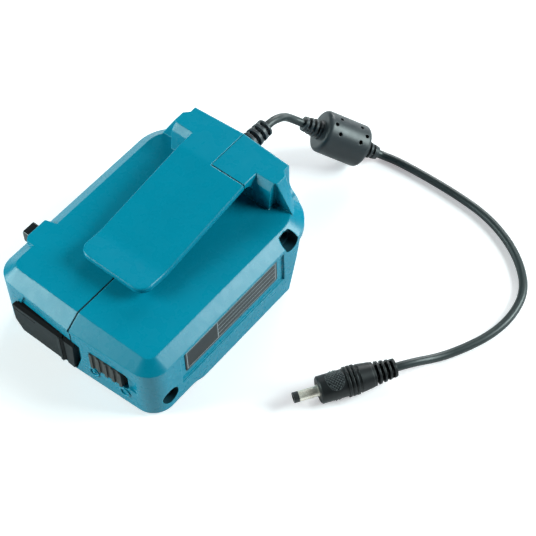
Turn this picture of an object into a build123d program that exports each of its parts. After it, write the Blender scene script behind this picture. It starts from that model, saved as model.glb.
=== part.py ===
from build123d import *
import math
import os

os.makedirs("parts", exist_ok=True)

# Slide-on battery adapter with a belt clip and a low-voltage output cord.
# Millimetres, Z up. x = 0 is the seam between the two shells, y = 0 is mid-length with the front
# at -Y, and z = 0 is the surface that the adapter stands on.

# Fits
seam_gap = 0.3
moving_gap = 0.3
thread_gap = 0.05
board_gap = 0.2

# Outer form of the housing
body_width = 76.0
front_ridge_y = -48.7
front_side_y = -46.8
rear_ridge_y = 48.7
rear_side_y = 46.4
front_corner_radius = 8.5
rear_corner_radius = 16.3
chamfer_foot_z = 26.4
roof_z = 31.1
chamfer_inset = 6.2
roof_fall = 0.025
wall = 2.4
chamfer_wall_inset = 6.8
half_width = body_width / 2
front_angle = math.degrees(math.atan2(front_side_y - front_ridge_y, half_width))

# Underside: the front part stands higher than the rear part
belly_rise = 2.2
belly_step_front_y = -28.0
belly_step_rear_y = -20.0
skirt_foot_y = 27.4
skirt_slope = 0.30
overhang_z = 23.5

# Platform over the rear end that carries the belt clip and the cord
platform_z = 42.3
tower_half_width = 22.5
tower_front_y = 38.0
tower_foot_radius_z = 33.0
tower_foot_x = 25.8
tower_foot_z = 28.4
tower_toe_x = 28.3
tower_toe_z = 26.8
block_half_width = 23.6
block_foot_y = 33.8
block_edge_y = 35.0
block_edge_z = 39.7
block_top_y = 37.5
wing_front_y = 37.8
wing_back_y = 42.6
wing_end_y = 44.6
wing_top_x = 24.5
wing_foot_x = 31.9
wing_back_foot_x = 28.8
wing_foot_z = 29.4
wing_root_x = 20.0

# Belt clip, one piece with the left shell
clip_half_width = 15.5
clip_bend_y = 30.2
clip_crease_y = -13.8
clip_crease_z = 35.9
clip_tip_y = -25.5
clip_tip_z = 36.9
clip_thickness = 2.5
clip_tip_thickness = 2.2
clip_arch_radius = 4.1
clip_tip_radius = 5.0
clip_crease_radius = 18.0
clip_bend_radius = 12.0
clip_edge_radius = 0.7

# Tab on the left side with the button's opening
tab_top_z = 30.35
tab_rear_y = -18.2
tab_rear_out_y = -20.3
tab_front_out_y = -28.8
tab_front_y = -31.2
tab_cut_depth = 1.8
tab_cut_x = half_width - tab_cut_depth
tab_in_depth = 8.0
tab_in_x = half_width - tab_in_depth
tab_edge_radius = 0.9

# Battery bay, open to the rear and below
bay_front_y = -26.0
bay_half_width = 32.0
bay_mouth_half_width = 28.0
bay_lip_z = 3.6
bay_ceiling_z = 16.8
deck_thickness = 2.0
deck_z = bay_ceiling_z + deck_thickness

# Compartments of the housing
ceiling_z = 28.6
front_room_floor_z = 4.4
front_room_rear_y = -28.8
front_room_top_z = 25.2
front_room_left_y = -43.2
front_room_left_x = 5.6
electronics_rear_y = 29.0
rear_room_floor_z = 25.8
tower_room_half_width = 20.3
tower_room_front_y = 37.4
tower_room_rear_y = 46.2
tower_room_top_z = 40.0

# Case screws along X, in wells of the right shell
front_screw_y = -38.6
front_screw_z = 8.9
rear_screw_y = 29.5
rear_screw_z = 26.8
well_mouth_radius = 3.65
well_mouth_x = 34.0
well_radius = 2.8
well_floor_x = 7.0
boss_radius = 4.65
boss_left_x = -9.0
boss_rib_width = 2.4
front_boss_end_x = 35.4
rear_boss_end_x = 31.5
boss_cap_z = 29.8
screw_shank_radius = 1.45
screw_head_radius = 2.6
screw_head_height = 2.2
screw_end_x = -8.0
screw_hole_radius = 1.75
pilot_end_x = -8.4
screw_recess_radius = 1.2
screw_recess_depth = 1.2
screw_places = [(front_screw_y, front_screw_z), (rear_screw_y, rear_screw_z)]

# Recess and cover of the USB socket, on the left half of the front wall
cover_recess_depth = 2.3
recess_ledge_depth = 0.6
recess_left_x = -27.0
recess_right_x = 4.3
recess_bottom_right_x = 1.0
recess_right_bend_z = 12.4
recess_bottom_z = 2.8
recess_cover_z = 19.2
recess_top_z = 25.5
recess_slant_low_x = -25.6
recess_slant_top_x = -22.8
cover_left_x = -28.6
cover_top_right_x = 1.7
cover_bottom_right_x = 0.3
cover_bottom_z = 3.1
cover_top_z = 18.9
cover_corner_width = 0.9
cover_corner_height = 1.6
cover_low_corner_width = 3.1
cover_low_corner_height = 5.0
cover_thickness = 2.6
cover_hinge_chamfer = 0.6
cover_face_y = -49.2
cover_end_thickness = 0.4
cover_slant = 4.0
cover_bevel_height = 1.5
cover_bevel_depth = 1.1
cover_groove_right_x = -17.5
cover_groove_z = 15.2
cover_groove_width = 0.4
cover_hinge_x = -4.0
cover_hinge_gap = 0.5
cover_rib_offset = 0.6
cover_rib_width = 1.2
cover_rib_proud = 1.2
cover_plug_width = 11.2
cover_plug_height = 4.2
cover_plug_depth = 2.0
cover_plug_wall = 1.0
anchor_stem_width = 3.0
anchor_stem_height = 4.4
anchor_foot_width = 6.0
anchor_foot_thickness = 1.6
anchor_foot_height = 4.8
anchor_z = 15.2

# USB socket on its small board
socket_x = -17.0
socket_width = 13.6
socket_height = 6.4
socket_length = 13.5
socket_wall = 0.35
socket_front_y = -45.1
socket_window_gap = 0.4
tongue_width = 11.1
tongue_thickness = 1.84
tongue_setback = 2.6
tongue_drop = 0.9
tongue_root = 1.2
contact_width = 1.0
contact_pitch = 2.3
contact_thickness = 0.3
contact_length = 7.5
usb_board_left_x = -29.0
usb_board_right_x = -9.6
usb_board_front_gap = 0.4
usb_board_front_y = front_room_left_y + usb_board_front_gap
usb_board_rear_gap = 0.6
usb_board_rear_y = front_room_rear_y - usb_board_rear_gap
board_thickness = 1.6

# Selector slider on the right half of the front wall; u runs along that wall from the ridge
slot_left_u = 8.8
slot_right_u = 25.8
slot_bottom_z = 11.5
slot_top_z = 20.8
knob_left_u = 9.1
knob_right_u = 23.5
knob_bottom_z = 11.9
knob_top_z = 20.4
knob_proud = 0.15
knob_rib_height = 0.5
knob_rib_width = 1.3
knob_rib_count = 5
knob_flange_left_u = 7.6
knob_flange_right_u = 25.0
knob_flange_bottom_z = 10.6
knob_flange_top_z = 21.7
knob_flange_thickness = 1.0
knob_nub_u = 16.3
knob_nub_width = 2.0
knob_nub_height = 2.0
knob_nub_length = 2.6
knob_travel = 2.0
scoop_u = 27.6
scoop_radius = 4.0
scoop_depth = 1.0
scoop_bottom_z = 12.4
scoop_top_z = 20.2
selector_left_x = 11.0
selector_right_x = 23.6
selector_setback = 4.4
selector_front_y = front_side_y + selector_setback
selector_depth = 4.6
selector_shelf_z = 13.7
selector_height = 6.0
selector_shelf_thickness = 1.2
selector_window_height = 3.0
selector_window_depth = 2.2

# Power button on the left side
button_y = -25.15
button_z = 25.0
button_width = 6.1
button_height = 6.0
button_reach = 4.0
button_tip_x = -half_width - button_reach
button_edge_radius = 0.8
button_hole_gap = 0.3
button_flange_inset = 7.1
button_flange_x = -half_width + button_flange_inset
button_flange_thickness = 1.0
button_flange_width = 9.4
button_flange_bottom_z = 22.3
button_flange_top_z = 28.0
button_travel = 1.0
tact_inset = 9.8
tact_front_x = -half_width + tact_inset
tact_depth = 4.4
tact_width = 6.0
tact_height = 5.6
tact_plunger_radius = 1.2
tact_plunger_length = 0.4

# Main board in the room above the battery bay
board_side_gap = 1.8
board_half_width = half_width - chamfer_wall_inset - board_side_gap
board_front_y = -28.4
board_rear_y = 22.4
board_z = 20.4
board_top_z = board_z + board_thickness
post_x = 25.0
post_front_y = -17.0
post_rear_y = 18.0
post_radius = 3.0
board_screw_radius = 1.0
board_screw_head_radius = 2.1
board_screw_head_height = 1.3
board_screw_end_z = 17.8
board_pilot_z = 17.6
board_hole_radius = 1.25

# Parts on the main board
inductor_x = 12.0
inductor_y = 4.0
inductor_size = 12.5
inductor_height = 6.0
inductor_corner = 2.4
inductor_cap_radius = 4.6
inductor_cap_height = 0.3
capacitor_radius = 3.1
capacitor_length = 11.0
capacitor_x = -12.0
capacitor_pitch = 7.2
capacitor_y = 10.0
chip_places = [(-14.0, -8.0, 5.0, 4.0), (8.0, -10.0, 6.5, 5.2), (-2.0, 12.0, 5.0, 6.2)]
chip_height = 1.5
fuse_x = 20.0
fuse_y = -12.0
fuse_width = 4.0
fuse_length = 9.0
fuse_height = 3.0

# Terminal block that hangs from the deck into the battery bay
terminal_half_width = 19.0
terminal_front_y = -24.0
terminal_rear_y = -12.0
terminal_bottom_z = 6.0
terminal_step_y = -6.5
terminal_step_z = 14.2
blade_x = 12.5
blade_thickness = 0.8
blade_front_y = -20.0
blade_rear_y = 3.0
blade_bottom_z = 8.0
blade_top_z = 13.4
blade_tail_width = 3.0
blade_tail_rear_y = -17.0
blade_tail_top_z = 22.8
tail_window_gap = 0.4
signal_half_width = 4.0
signal_blade_x = 1.6
signal_blade_rear_y = -3.0
signal_blade_bottom_z = 9.0
signal_blade_top_z = 12.0

# Rating label in a shallow recess of the right side
label_recess_depth = 0.8
label_recess_front_y = -32.3
label_recess_rear_y = 24.8
label_recess_bottom_z = 9.3
label_recess_top_z = 25.2
label_front_y = -29.4
label_rear_y = 21.2
label_bottom_z = 13.1
label_top_z = 24.7
label_thickness = 0.3
label_corner_radius = 0.6

# Strain relief in the tower's rear wall
relief_drop = 7.7
relief_z = platform_z - relief_drop
relief_hole_radius = 3.4
relief_neck_gap = 0.05
relief_flange_radius = 5.0
relief_flange_thickness = 1.8
relief_root_radius = 4.1
relief_tip_radius = 3.5
relief_tip_y = 60.8
relief_collar_y = 48.8
relief_collar_width = 1.2
relief_groove_count = 4
relief_groove_width = 1.7
relief_rib_width = 1.2
relief_core_radius = 2.35
relief_spine_width = 2.2

# Cord, with the moulded ferrite bead on it
cord_diameter = 3.3
bead_heading = 38.24
bead_tilt = 32.0
bead_left_x = 8.02
bead_left_y = 84.0
bead_left_z = 17.33
bead_radius = 8.48
bead_length = 19.54
bead_end_radius = 1.8
bead_core_radius = 6.6
bead_core_bore = 2.2
bead_core_length = 15.0
bead_core_gap = 0.05
bead_hole_radius = 0.8
bead_hole_angle = 11.5
bead_hole_spread = 23.5
bead_hole_end = 2.9
bead_hole_side = 5.1
left_boot_length = 7.5
left_boot_root_radius = 4.0
left_boot_tip_radius = 2.9
left_boot_groove_count = 3
right_boot_length = 7.0
right_boot_root_radius = 3.8
right_boot_tip_radius = 2.6
right_boot_groove_count = 2
boot_groove_width = 1.1
boot_rib_width = 0.9
boot_core_radius = 1.75
boot_spine_width = 1.6

# Coaxial plug, lying on the surface
plug_front_x = 75.92
plug_front_y = -3.15
plug_z = 5.6
plug_heading = 57.63
plug_length = 29.2
plug_grip_radius = 5.1
plug_nose_radius = 0.5
plug_ring_start = 10.4
plug_ring_pitch = 1.5
plug_ring_width = 0.8
plug_ring_radius = 5.6
plug_ring_count = 3
plug_collar_start = 15.3
plug_collar_radius = 5.3
plug_collar_end_radius = 4.7
plug_boot_start = 20.0
plug_boot_root_radius = 4.6
plug_boot_tip_radius = 3.4
plug_boot_groove_count = 4
plug_boot_groove_width = 1.2
plug_boot_rib_width = 0.8
plug_boot_core_radius = 1.8
plug_boot_spine_width = 2.0
barrel_radius = 2.0
barrel_wall = 0.35
barrel_length = 7.4
barrel_root = 4.0
barrel_root_radius = 2.2
barrel_collar_width = 0.3
plug_tip_length = 2.0
plug_liner_wall = 0.45
plug_contact_wall = 0.3
plug_contact_setback = 0.5


# A box between two corners
def block(x0, x1, y0, y1, z0, z1, mode=Mode.ADD):
    with Locations(((x0 + x1) / 2, (y0 + y1) / 2, (z0 + z1) / 2)):
        Box(x1 - x0, y1 - y0, z1 - z0, mode=mode)


# Round bars along X, Y and Z
def bar_x(x0, x1, y, z, radius, mode=Mode.ADD):
    with Locations(Location(((x0 + x1) / 2, y, z), (0, 90, 0))):
        Cylinder(radius, x1 - x0, mode=mode)


def bar_y(x, z, y0, y1, radius, mode=Mode.ADD):
    with Locations(Location((x, (y0 + y1) / 2, z), (90, 0, 0))):
        Cylinder(radius, y1 - y0, mode=mode)


def bar_z(x, y, z0, z1, radius, mode=Mode.ADD):
    with Locations((x, y, (z0 + z1) / 2)):
        Cylinder(radius, z1 - z0, mode=mode)


# Planes of the two halves of the front wall: local x along the wall, local y up, normal outwards
front_cos = math.cos(math.radians(front_angle))
front_sin = math.sin(math.radians(front_angle))
front_left = Plane(
    origin=(0, front_ridge_y, 0), x_dir=(front_cos, -front_sin, 0), z_dir=(-front_sin, -front_cos, 0)
)
front_right = Plane(
    origin=(0, front_ridge_y, 0), x_dir=(front_cos, front_sin, 0), z_dir=(front_sin, -front_cos, 0)
)

# Lengths that only have to reach past the object, and a hair's width for picking edges
past = 60.0
clear = 2.0
hair = 0.01


# Plan of the housing, and the same plan shrunk to the rooms inside
with BuildSketch() as plan:
    with BuildLine():
        Polyline(
            (-half_width, front_side_y),
            (0, front_ridge_y),
            (half_width, front_side_y),
            (half_width, rear_side_y),
            (0, rear_ridge_y),
            (-half_width, rear_side_y),
            close=True,
        )
    make_face()
    side_corners = plan.vertices().filter_by(lambda v: abs(v.X) > clear)
    fillet(side_corners.filter_by(lambda v: v.Y < 0), front_corner_radius)
    side_corners = plan.vertices().filter_by(lambda v: abs(v.X) > half_width - clear)
    fillet(side_corners.filter_by(lambda v: v.Y > 0), rear_corner_radius)

with BuildSketch() as room_plan:
    add(plan.sketch)
    offset(amount=-wall, kind=Kind.INTERSECTION, mode=Mode.REPLACE)

with BuildSketch() as upper_room_plan:
    add(plan.sketch)
    offset(amount=-chamfer_wall_inset, kind=Kind.INTERSECTION, mode=Mode.REPLACE)

# Belt clip: a slab that bends down from the platform, with a low crease and a rounded tip
with BuildPart() as belt_clip:
    with BuildSketch(Plane.YZ) as clip_profile:
        with BuildLine():
            Polyline(
                (clip_bend_y, platform_z - clip_thickness),
                (clip_crease_y, clip_crease_z - clip_thickness),
                (clip_tip_y, clip_tip_z - clip_tip_thickness),
                (clip_tip_y, clip_tip_z),
                (clip_crease_y, clip_crease_z),
                (clip_bend_y, platform_z),
                (tower_front_y + clear, platform_z),
                (tower_front_y + clear, platform_z - clip_thickness - clip_arch_radius),
                (clip_bend_y + clip_arch_radius, platform_z - clip_thickness - clip_arch_radius),
            )
            RadiusArc(
                (clip_bend_y, platform_z - clip_thickness),
                (clip_bend_y + clip_arch_radius, platform_z - clip_thickness - clip_arch_radius),
                clip_arch_radius,
            )
        make_face()
        crease = clip_profile.vertices().filter_by(lambda v: abs(v.X - clip_crease_y) < hair)
        fillet(crease, clip_crease_radius)
        bend = clip_profile.vertices().filter_by(
            lambda v: abs(v.X - clip_bend_y) < hair and abs(v.Y - platform_z) < hair
        )
        fillet(bend, clip_bend_radius)
    extrude(amount=clip_half_width, both=True)
    tip_corners = belt_clip.edges().filter_by(
        lambda e: abs(abs(e.center().X) - clip_half_width) < hair
        and abs(e.center().Y - clip_tip_y) < hair
    )
    fillet(tip_corners, clip_tip_radius)
    clip_top = belt_clip.faces().filter_by(lambda f: f.normal_at().Z > 0.5)
    clip_rim = clip_top.edges().filter_by(
        lambda e: abs(e.center().X) > hair or e.center().Y < clip_crease_y - clear
    )
    clip_rim = clip_rim.filter_by(lambda e: e.center().Y < tower_front_y + clear - hair)
    fillet(clip_rim, clip_edge_radius)

# Outer form of the closed housing, before it is hollowed and split into its shells
with BuildPart() as outer_form:
    with BuildSketch():
        add(plan.sketch)
    extrude(amount=roof_z)
    roof_face = outer_form.faces().sort_by(Axis.Z)[-1]
    chamfer(
        roof_face.edges(), length=chamfer_inset, length2=roof_z - chamfer_foot_z, reference=roof_face
    )
    # The roof falls a little to both sides of the seam
    with BuildSketch(Plane.XZ.offset(-past)):
        with BuildLine():
            Polyline(
                (-half_width, roof_z + clear),
                (-half_width, roof_z - roof_fall * half_width),
                (0, roof_z),
                (half_width, roof_z - roof_fall * half_width),
                (half_width, roof_z + clear),
                close=True,
            )
        make_face()
    extrude(amount=2 * past, mode=Mode.SUBTRACT)
    # Tab that fills the left chamfer around the button
    with BuildSketch(Plane.XY.offset(button_z)):
        with BuildLine():
            Polyline(
                (-tab_in_x, tab_rear_y),
                (-tab_in_x - clear / 2, tab_rear_y),
                (-half_width, tab_rear_out_y),
                (-half_width, tab_front_out_y),
                (-tab_cut_x, tab_front_y),
                (-tab_in_x, tab_front_y),
                close=True,
            )
        make_face()
    extrude(amount=tab_top_z - button_z)
    tab_edge = outer_form.edges().filter_by(
        lambda e: abs(e.center().X + half_width) < hair and abs(e.center().Z - tab_top_z) < hair
    )
    fillet(tab_edge, tab_edge_radius)
    # Rear tower: straight sides with a hollow fillet at the foot
    with BuildSketch(Plane.XZ.offset(-past)):
        with BuildLine():
            side = Line((tower_half_width, platform_z), (tower_half_width, tower_foot_radius_z))
            hollow = TangentArc(side @ 1, (tower_foot_x, tower_foot_z), tangent=side % 1)
            Polyline(
                hollow @ 1,
                (tower_toe_x, tower_toe_z),
                (tower_toe_x, rear_room_floor_z),
                (0, rear_room_floor_z),
                (0, platform_z),
                side @ 0,
            )
        make_face()
        mirror(about=Plane.YZ)
    extrude(amount=past - tower_front_y)
    # Block in front of the tower, with a sloping edge to both sides of the clip
    with BuildSketch(Plane.YZ):
        Polygon(
            (tower_front_y + clear, platform_z),
            (block_top_y, platform_z),
            (block_edge_y, block_edge_z),
            (block_foot_y, roof_z),
            (block_foot_y, rear_room_floor_z),
            (tower_front_y + clear, rear_room_floor_z),
            align=None,
        )
    extrude(amount=block_half_width, both=True)
    # Sloping wings that run down from the tower's corners
    for back_y, back_top_x, back_foot_x, front_y, front_top_x, front_foot_x in [
        (wing_back_y, wing_top_x, wing_back_foot_x, wing_front_y, wing_top_x, wing_foot_x),
        (wing_end_y, tower_half_width, tower_foot_x, wing_back_y, wing_top_x, wing_back_foot_x),
    ]:
        for hand in (-1, 1):
            for wing_y, top_x, foot_x in [
                (back_y, back_top_x, back_foot_x),
                (front_y, front_top_x, front_foot_x),
            ]:
                with BuildSketch(Plane.XZ.offset(-wing_y)):
                    Polygon(
                        (hand * wing_root_x, platform_z),
                        (hand * top_x, platform_z),
                        (hand * foot_x, wing_foot_z),
                        (hand * wing_root_x, wing_foot_z),
                        align=None,
                    )
            loft(ruled=True)
    add(belt_clip.part)
    # Nothing of the tower stands out past the plan
    with BuildSketch():
        add(plan.sketch)
    extrude(amount=past, mode=Mode.INTERSECT)
    # Underside: the front part is raised, with a soft step
    with BuildSketch(Plane.YZ):
        with BuildLine():
            low = Line((-past, belly_rise), (belly_step_front_y, belly_rise))
            middle_y = (belly_step_front_y + belly_step_rear_y) / 2
            bend = TangentArc(low @ 1, (middle_y, belly_rise / 2), tangent=low % 1)
            level = TangentArc(bend @ 1, (belly_step_rear_y, 0), tangent=bend % 1)
            Polyline(level @ 1, (belly_step_rear_y, -clear), (-past, -clear), (-past, belly_rise))
        make_face()
    extrude(amount=past, both=True, mode=Mode.SUBTRACT)
    # The skirt ends on a slant, and the rear end overhangs it
    with BuildSketch(Plane.YZ):
        Polygon(
            (skirt_foot_y - skirt_slope * clear, -clear),
            (skirt_foot_y + skirt_slope * overhang_z, overhang_z),
            (past, overhang_z),
            (past, -clear),
            align=None,
        )
    extrude(amount=past, both=True, mode=Mode.SUBTRACT)


# Hollow housing with its bosses, openings and recesses
with BuildPart() as housing:
    add(outer_form.part)
    # Battery bay with a lip along both sides that holds the battery's rails
    block(
        -bay_half_width, bay_half_width, bay_front_y, past, bay_lip_z, bay_ceiling_z, Mode.SUBTRACT
    )
    block(
        -bay_mouth_half_width, bay_mouth_half_width, bay_front_y, past, -clear, bay_lip_z, Mode.SUBTRACT
    )
    # Room for the electronics above the bay
    with BuildSketch(Plane.XY.offset(deck_z)):
        add(upper_room_plan.sketch)
        with Locations((0, electronics_rear_y - past)):
            Rectangle(2 * past, 2 * past, mode=Mode.INTERSECT)
    extrude(amount=ceiling_z - deck_z, mode=Mode.SUBTRACT)
    # Front room behind the socket's cover and the slider
    with BuildSketch(Plane.XY.offset(front_room_floor_z)):
        add(room_plan.sketch)
        with Locations((0, front_room_rear_y - past)):
            Rectangle(2 * past, 2 * past, mode=Mode.INTERSECT)
        with Locations((front_room_left_x - past, front_room_left_y - past)):
            Rectangle(2 * past, 2 * past, mode=Mode.SUBTRACT)
    extrude(amount=front_room_top_z - front_room_floor_z, mode=Mode.SUBTRACT)
    # Rear room under the tower, and the room inside the tower
    with BuildSketch(Plane.XY.offset(rear_room_floor_z)):
        add(upper_room_plan.sketch)
        with Locations((0, electronics_rear_y - clear + past)):
            Rectangle(2 * past, 2 * past, mode=Mode.INTERSECT)
    extrude(amount=ceiling_z - rear_room_floor_z, mode=Mode.SUBTRACT)
    block(
        -tower_room_half_width,
        tower_room_half_width,
        tower_room_front_y,
        tower_room_rear_y,
        rear_room_floor_z,
        tower_room_top_z,
        Mode.SUBTRACT,
    )
    # Screw bosses across both shells, with a rib under the front one
    for screw_y, screw_z, boss_end_x in [
        (front_screw_y, front_screw_z, front_boss_end_x),
        (rear_screw_y, rear_screw_z, rear_boss_end_x),
    ]:
        with BuildSketch(Plane.YZ.offset(boss_left_x)):
            with Locations((screw_y, screw_z)):
                Circle(boss_radius)
            with Locations((0, boss_cap_z - past)):
                Rectangle(4 * past, 2 * past, mode=Mode.INTERSECT)
        extrude(amount=boss_end_x - boss_left_x)
    block(
        boss_left_x,
        half_width - wall,
        front_screw_y - boss_rib_width / 2,
        front_screw_y + boss_rib_width / 2,
        belly_rise + clear,
        front_screw_z,
    )
    # Shelf of the slide switch, on the front boss
    block(
        selector_left_x,
        selector_right_x,
        selector_front_y,
        selector_front_y + selector_depth,
        selector_shelf_z - selector_shelf_thickness,
        selector_shelf_z,
    )
    # Posts of the main board
    for hand in (-1, 1):
        for post_y in (post_front_y, post_rear_y):
            bar_z(hand * post_x, post_y, deck_z, board_z, post_radius)
            bar_z(
                hand * post_x,
                post_y,
                board_pilot_z,
                board_z,
                board_screw_radius + thread_gap,
                Mode.SUBTRACT,
            )
    # Wells, seats and pilot holes of the case screws
    for screw_y, screw_z in screw_places:
        bar_x(well_mouth_x, past, screw_y, screw_z, well_mouth_radius, Mode.SUBTRACT)
        bar_x(well_floor_x, well_mouth_x, screw_y, screw_z, well_radius, Mode.SUBTRACT)
        bar_x(0, well_floor_x, screw_y, screw_z, screw_hole_radius, Mode.SUBTRACT)
        bar_x(pilot_end_x, 0, screw_y, screw_z, screw_shank_radius + thread_gap, Mode.SUBTRACT)
    # Windows in the deck for the blades' tails
    for tail_x in (-blade_x, -signal_blade_x, signal_blade_x, blade_x):
        block(
            tail_x - blade_thickness / 2 - tail_window_gap,
            tail_x + blade_thickness / 2 + tail_window_gap,
            blade_front_y - tail_window_gap,
            blade_tail_rear_y + tail_window_gap,
            bay_ceiling_z - clear / 2,
            deck_z + clear / 4,
            Mode.SUBTRACT,
        )
    # Opening of the power button
    with BuildSketch(Plane.YZ.offset(-past)):
        with Locations((button_y, button_z)):
            RectangleRounded(
                button_width + 2 * button_hole_gap,
                button_height + 2 * button_hole_gap,
                button_edge_radius + button_hole_gap,
            )
    extrude(amount=past + button_flange_x, mode=Mode.SUBTRACT)
    # Recess of the socket's cover, the socket's window and the slit for the cover's anchor
    with BuildSketch(front_left.offset(-cover_recess_depth)):
        Polygon(
            (recess_left_x, recess_bottom_z),
            (recess_bottom_right_x, recess_bottom_z),
            (recess_right_x, recess_right_bend_z),
            (recess_right_x, recess_cover_z),
            (recess_left_x, recess_cover_z),
            align=None,
        )
    extrude(amount=cover_recess_depth + clear, mode=Mode.SUBTRACT)
    # Shallower step of the recess above the cover
    with BuildSketch(front_left.offset(-recess_ledge_depth)):
        Polygon(
            (recess_right_x, recess_cover_z - clear / 4),
            (recess_right_x, recess_top_z),
            (recess_slant_top_x, recess_top_z),
            (recess_slant_low_x, recess_cover_z - clear / 4),
            align=None,
        )
    extrude(amount=recess_ledge_depth + clear, mode=Mode.SUBTRACT)
    block(
        socket_x - socket_width / 2 - socket_window_gap,
        socket_x + socket_width / 2 + socket_window_gap,
        front_ridge_y,
        front_room_left_y + clear / 4,
        front_room_floor_z + board_thickness - socket_window_gap,
        front_room_floor_z + board_thickness + socket_height + socket_window_gap,
        Mode.SUBTRACT,
    )
    block(
        -anchor_stem_width / 2,
        anchor_stem_width / 2,
        front_ridge_y,
        front_room_left_y + clear / 4,
        anchor_z - anchor_stem_height / 2,
        anchor_z + anchor_stem_height / 2,
        Mode.SUBTRACT,
    )
    # Slot of the selector, with a scooped end for the fingertip
    with BuildSketch(front_right.offset(-wall - clear / 2)):
        with Locations(((slot_left_u + slot_right_u) / 2, (slot_bottom_z + slot_top_z) / 2)):
            Rectangle(slot_right_u - slot_left_u, slot_top_z - slot_bottom_z)
    extrude(amount=wall + clear, mode=Mode.SUBTRACT)
    scoop_centre = front_right.from_local_coords((scoop_u, 0, scoop_radius - scoop_depth))
    bar_z(
        scoop_centre.X, scoop_centre.Y, scoop_bottom_z, scoop_top_z, scoop_radius, Mode.SUBTRACT
    )
    # Recess of the rating label
    block(
        half_width - label_recess_depth,
        past,
        label_recess_front_y,
        label_recess_rear_y,
        label_recess_bottom_z,
        label_recess_top_z,
        Mode.SUBTRACT,
    )
    # Hole of the strain relief
    bar_y(0, relief_z, tower_room_rear_y - clear, past, relief_hole_radius, Mode.SUBTRACT)

# Left shell: the left half and the whole clip
with BuildPart() as left_shell:
    add(housing.part)
    clip_base_z = roof_z + clear / 2
    block(-seam_gap / 2, past, -past, past, -clear, clip_base_z, Mode.SUBTRACT)
    block(
        -seam_gap / 2, past, clip_bend_y - seam_gap / 2, past, clip_base_z, past, Mode.SUBTRACT
    )
left_shell.part.label = "left_shell"

# Right shell: the right half, up to the seam behind the clip
with BuildPart() as right_shell:
    add(housing.part)
    block(-past, seam_gap / 2, -past, past, -clear, past, Mode.SUBTRACT)
    block(
        -past, past, -past, clip_bend_y + seam_gap / 2, roof_z + clear / 2, past, Mode.SUBTRACT
    )
right_shell.part.label = "right_shell"

# Thin rating label on the floor of its recess
with BuildPart() as rating_label:
    with BuildSketch(Plane.YZ.offset(half_width - label_recess_depth)):
        with Locations(((label_front_y + label_rear_y) / 2, (label_bottom_z + label_top_z) / 2)):
            RectangleRounded(
                label_rear_y - label_front_y, label_top_z - label_bottom_z, label_corner_radius
            )
    extrude(amount=label_thickness)
rating_label.part.label = "rating_label"

# Two case screws in their wells
with BuildPart() as case_screws:
    for screw_y, screw_z in screw_places:
        bar_x(well_floor_x, well_floor_x + screw_head_height, screw_y, screw_z, screw_head_radius)
        bar_x(screw_end_x, well_floor_x, screw_y, screw_z, screw_shank_radius)
        with BuildSketch(Plane.YZ.offset(well_floor_x + screw_head_height)):
            with Locations((screw_y, screw_z)):
                RegularPolygon(screw_recess_radius, 6)
        extrude(amount=-screw_recess_depth, mode=Mode.SUBTRACT)
case_screws.part.label = "case_screws"

# Bevel along the upper front edge of the cover and its anchor
with BuildSketch(Plane.YZ) as cover_bevel:
    Polygon(
        (cover_face_y - clear, cover_top_z + clear),
        (cover_face_y - clear, cover_top_z - cover_bevel_height),
        (cover_face_y, cover_top_z - cover_bevel_height),
        (cover_face_y + cover_bevel_depth, cover_top_z),
        (cover_face_y + cover_bevel_depth, cover_top_z + clear),
        align=None,
    )

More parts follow.
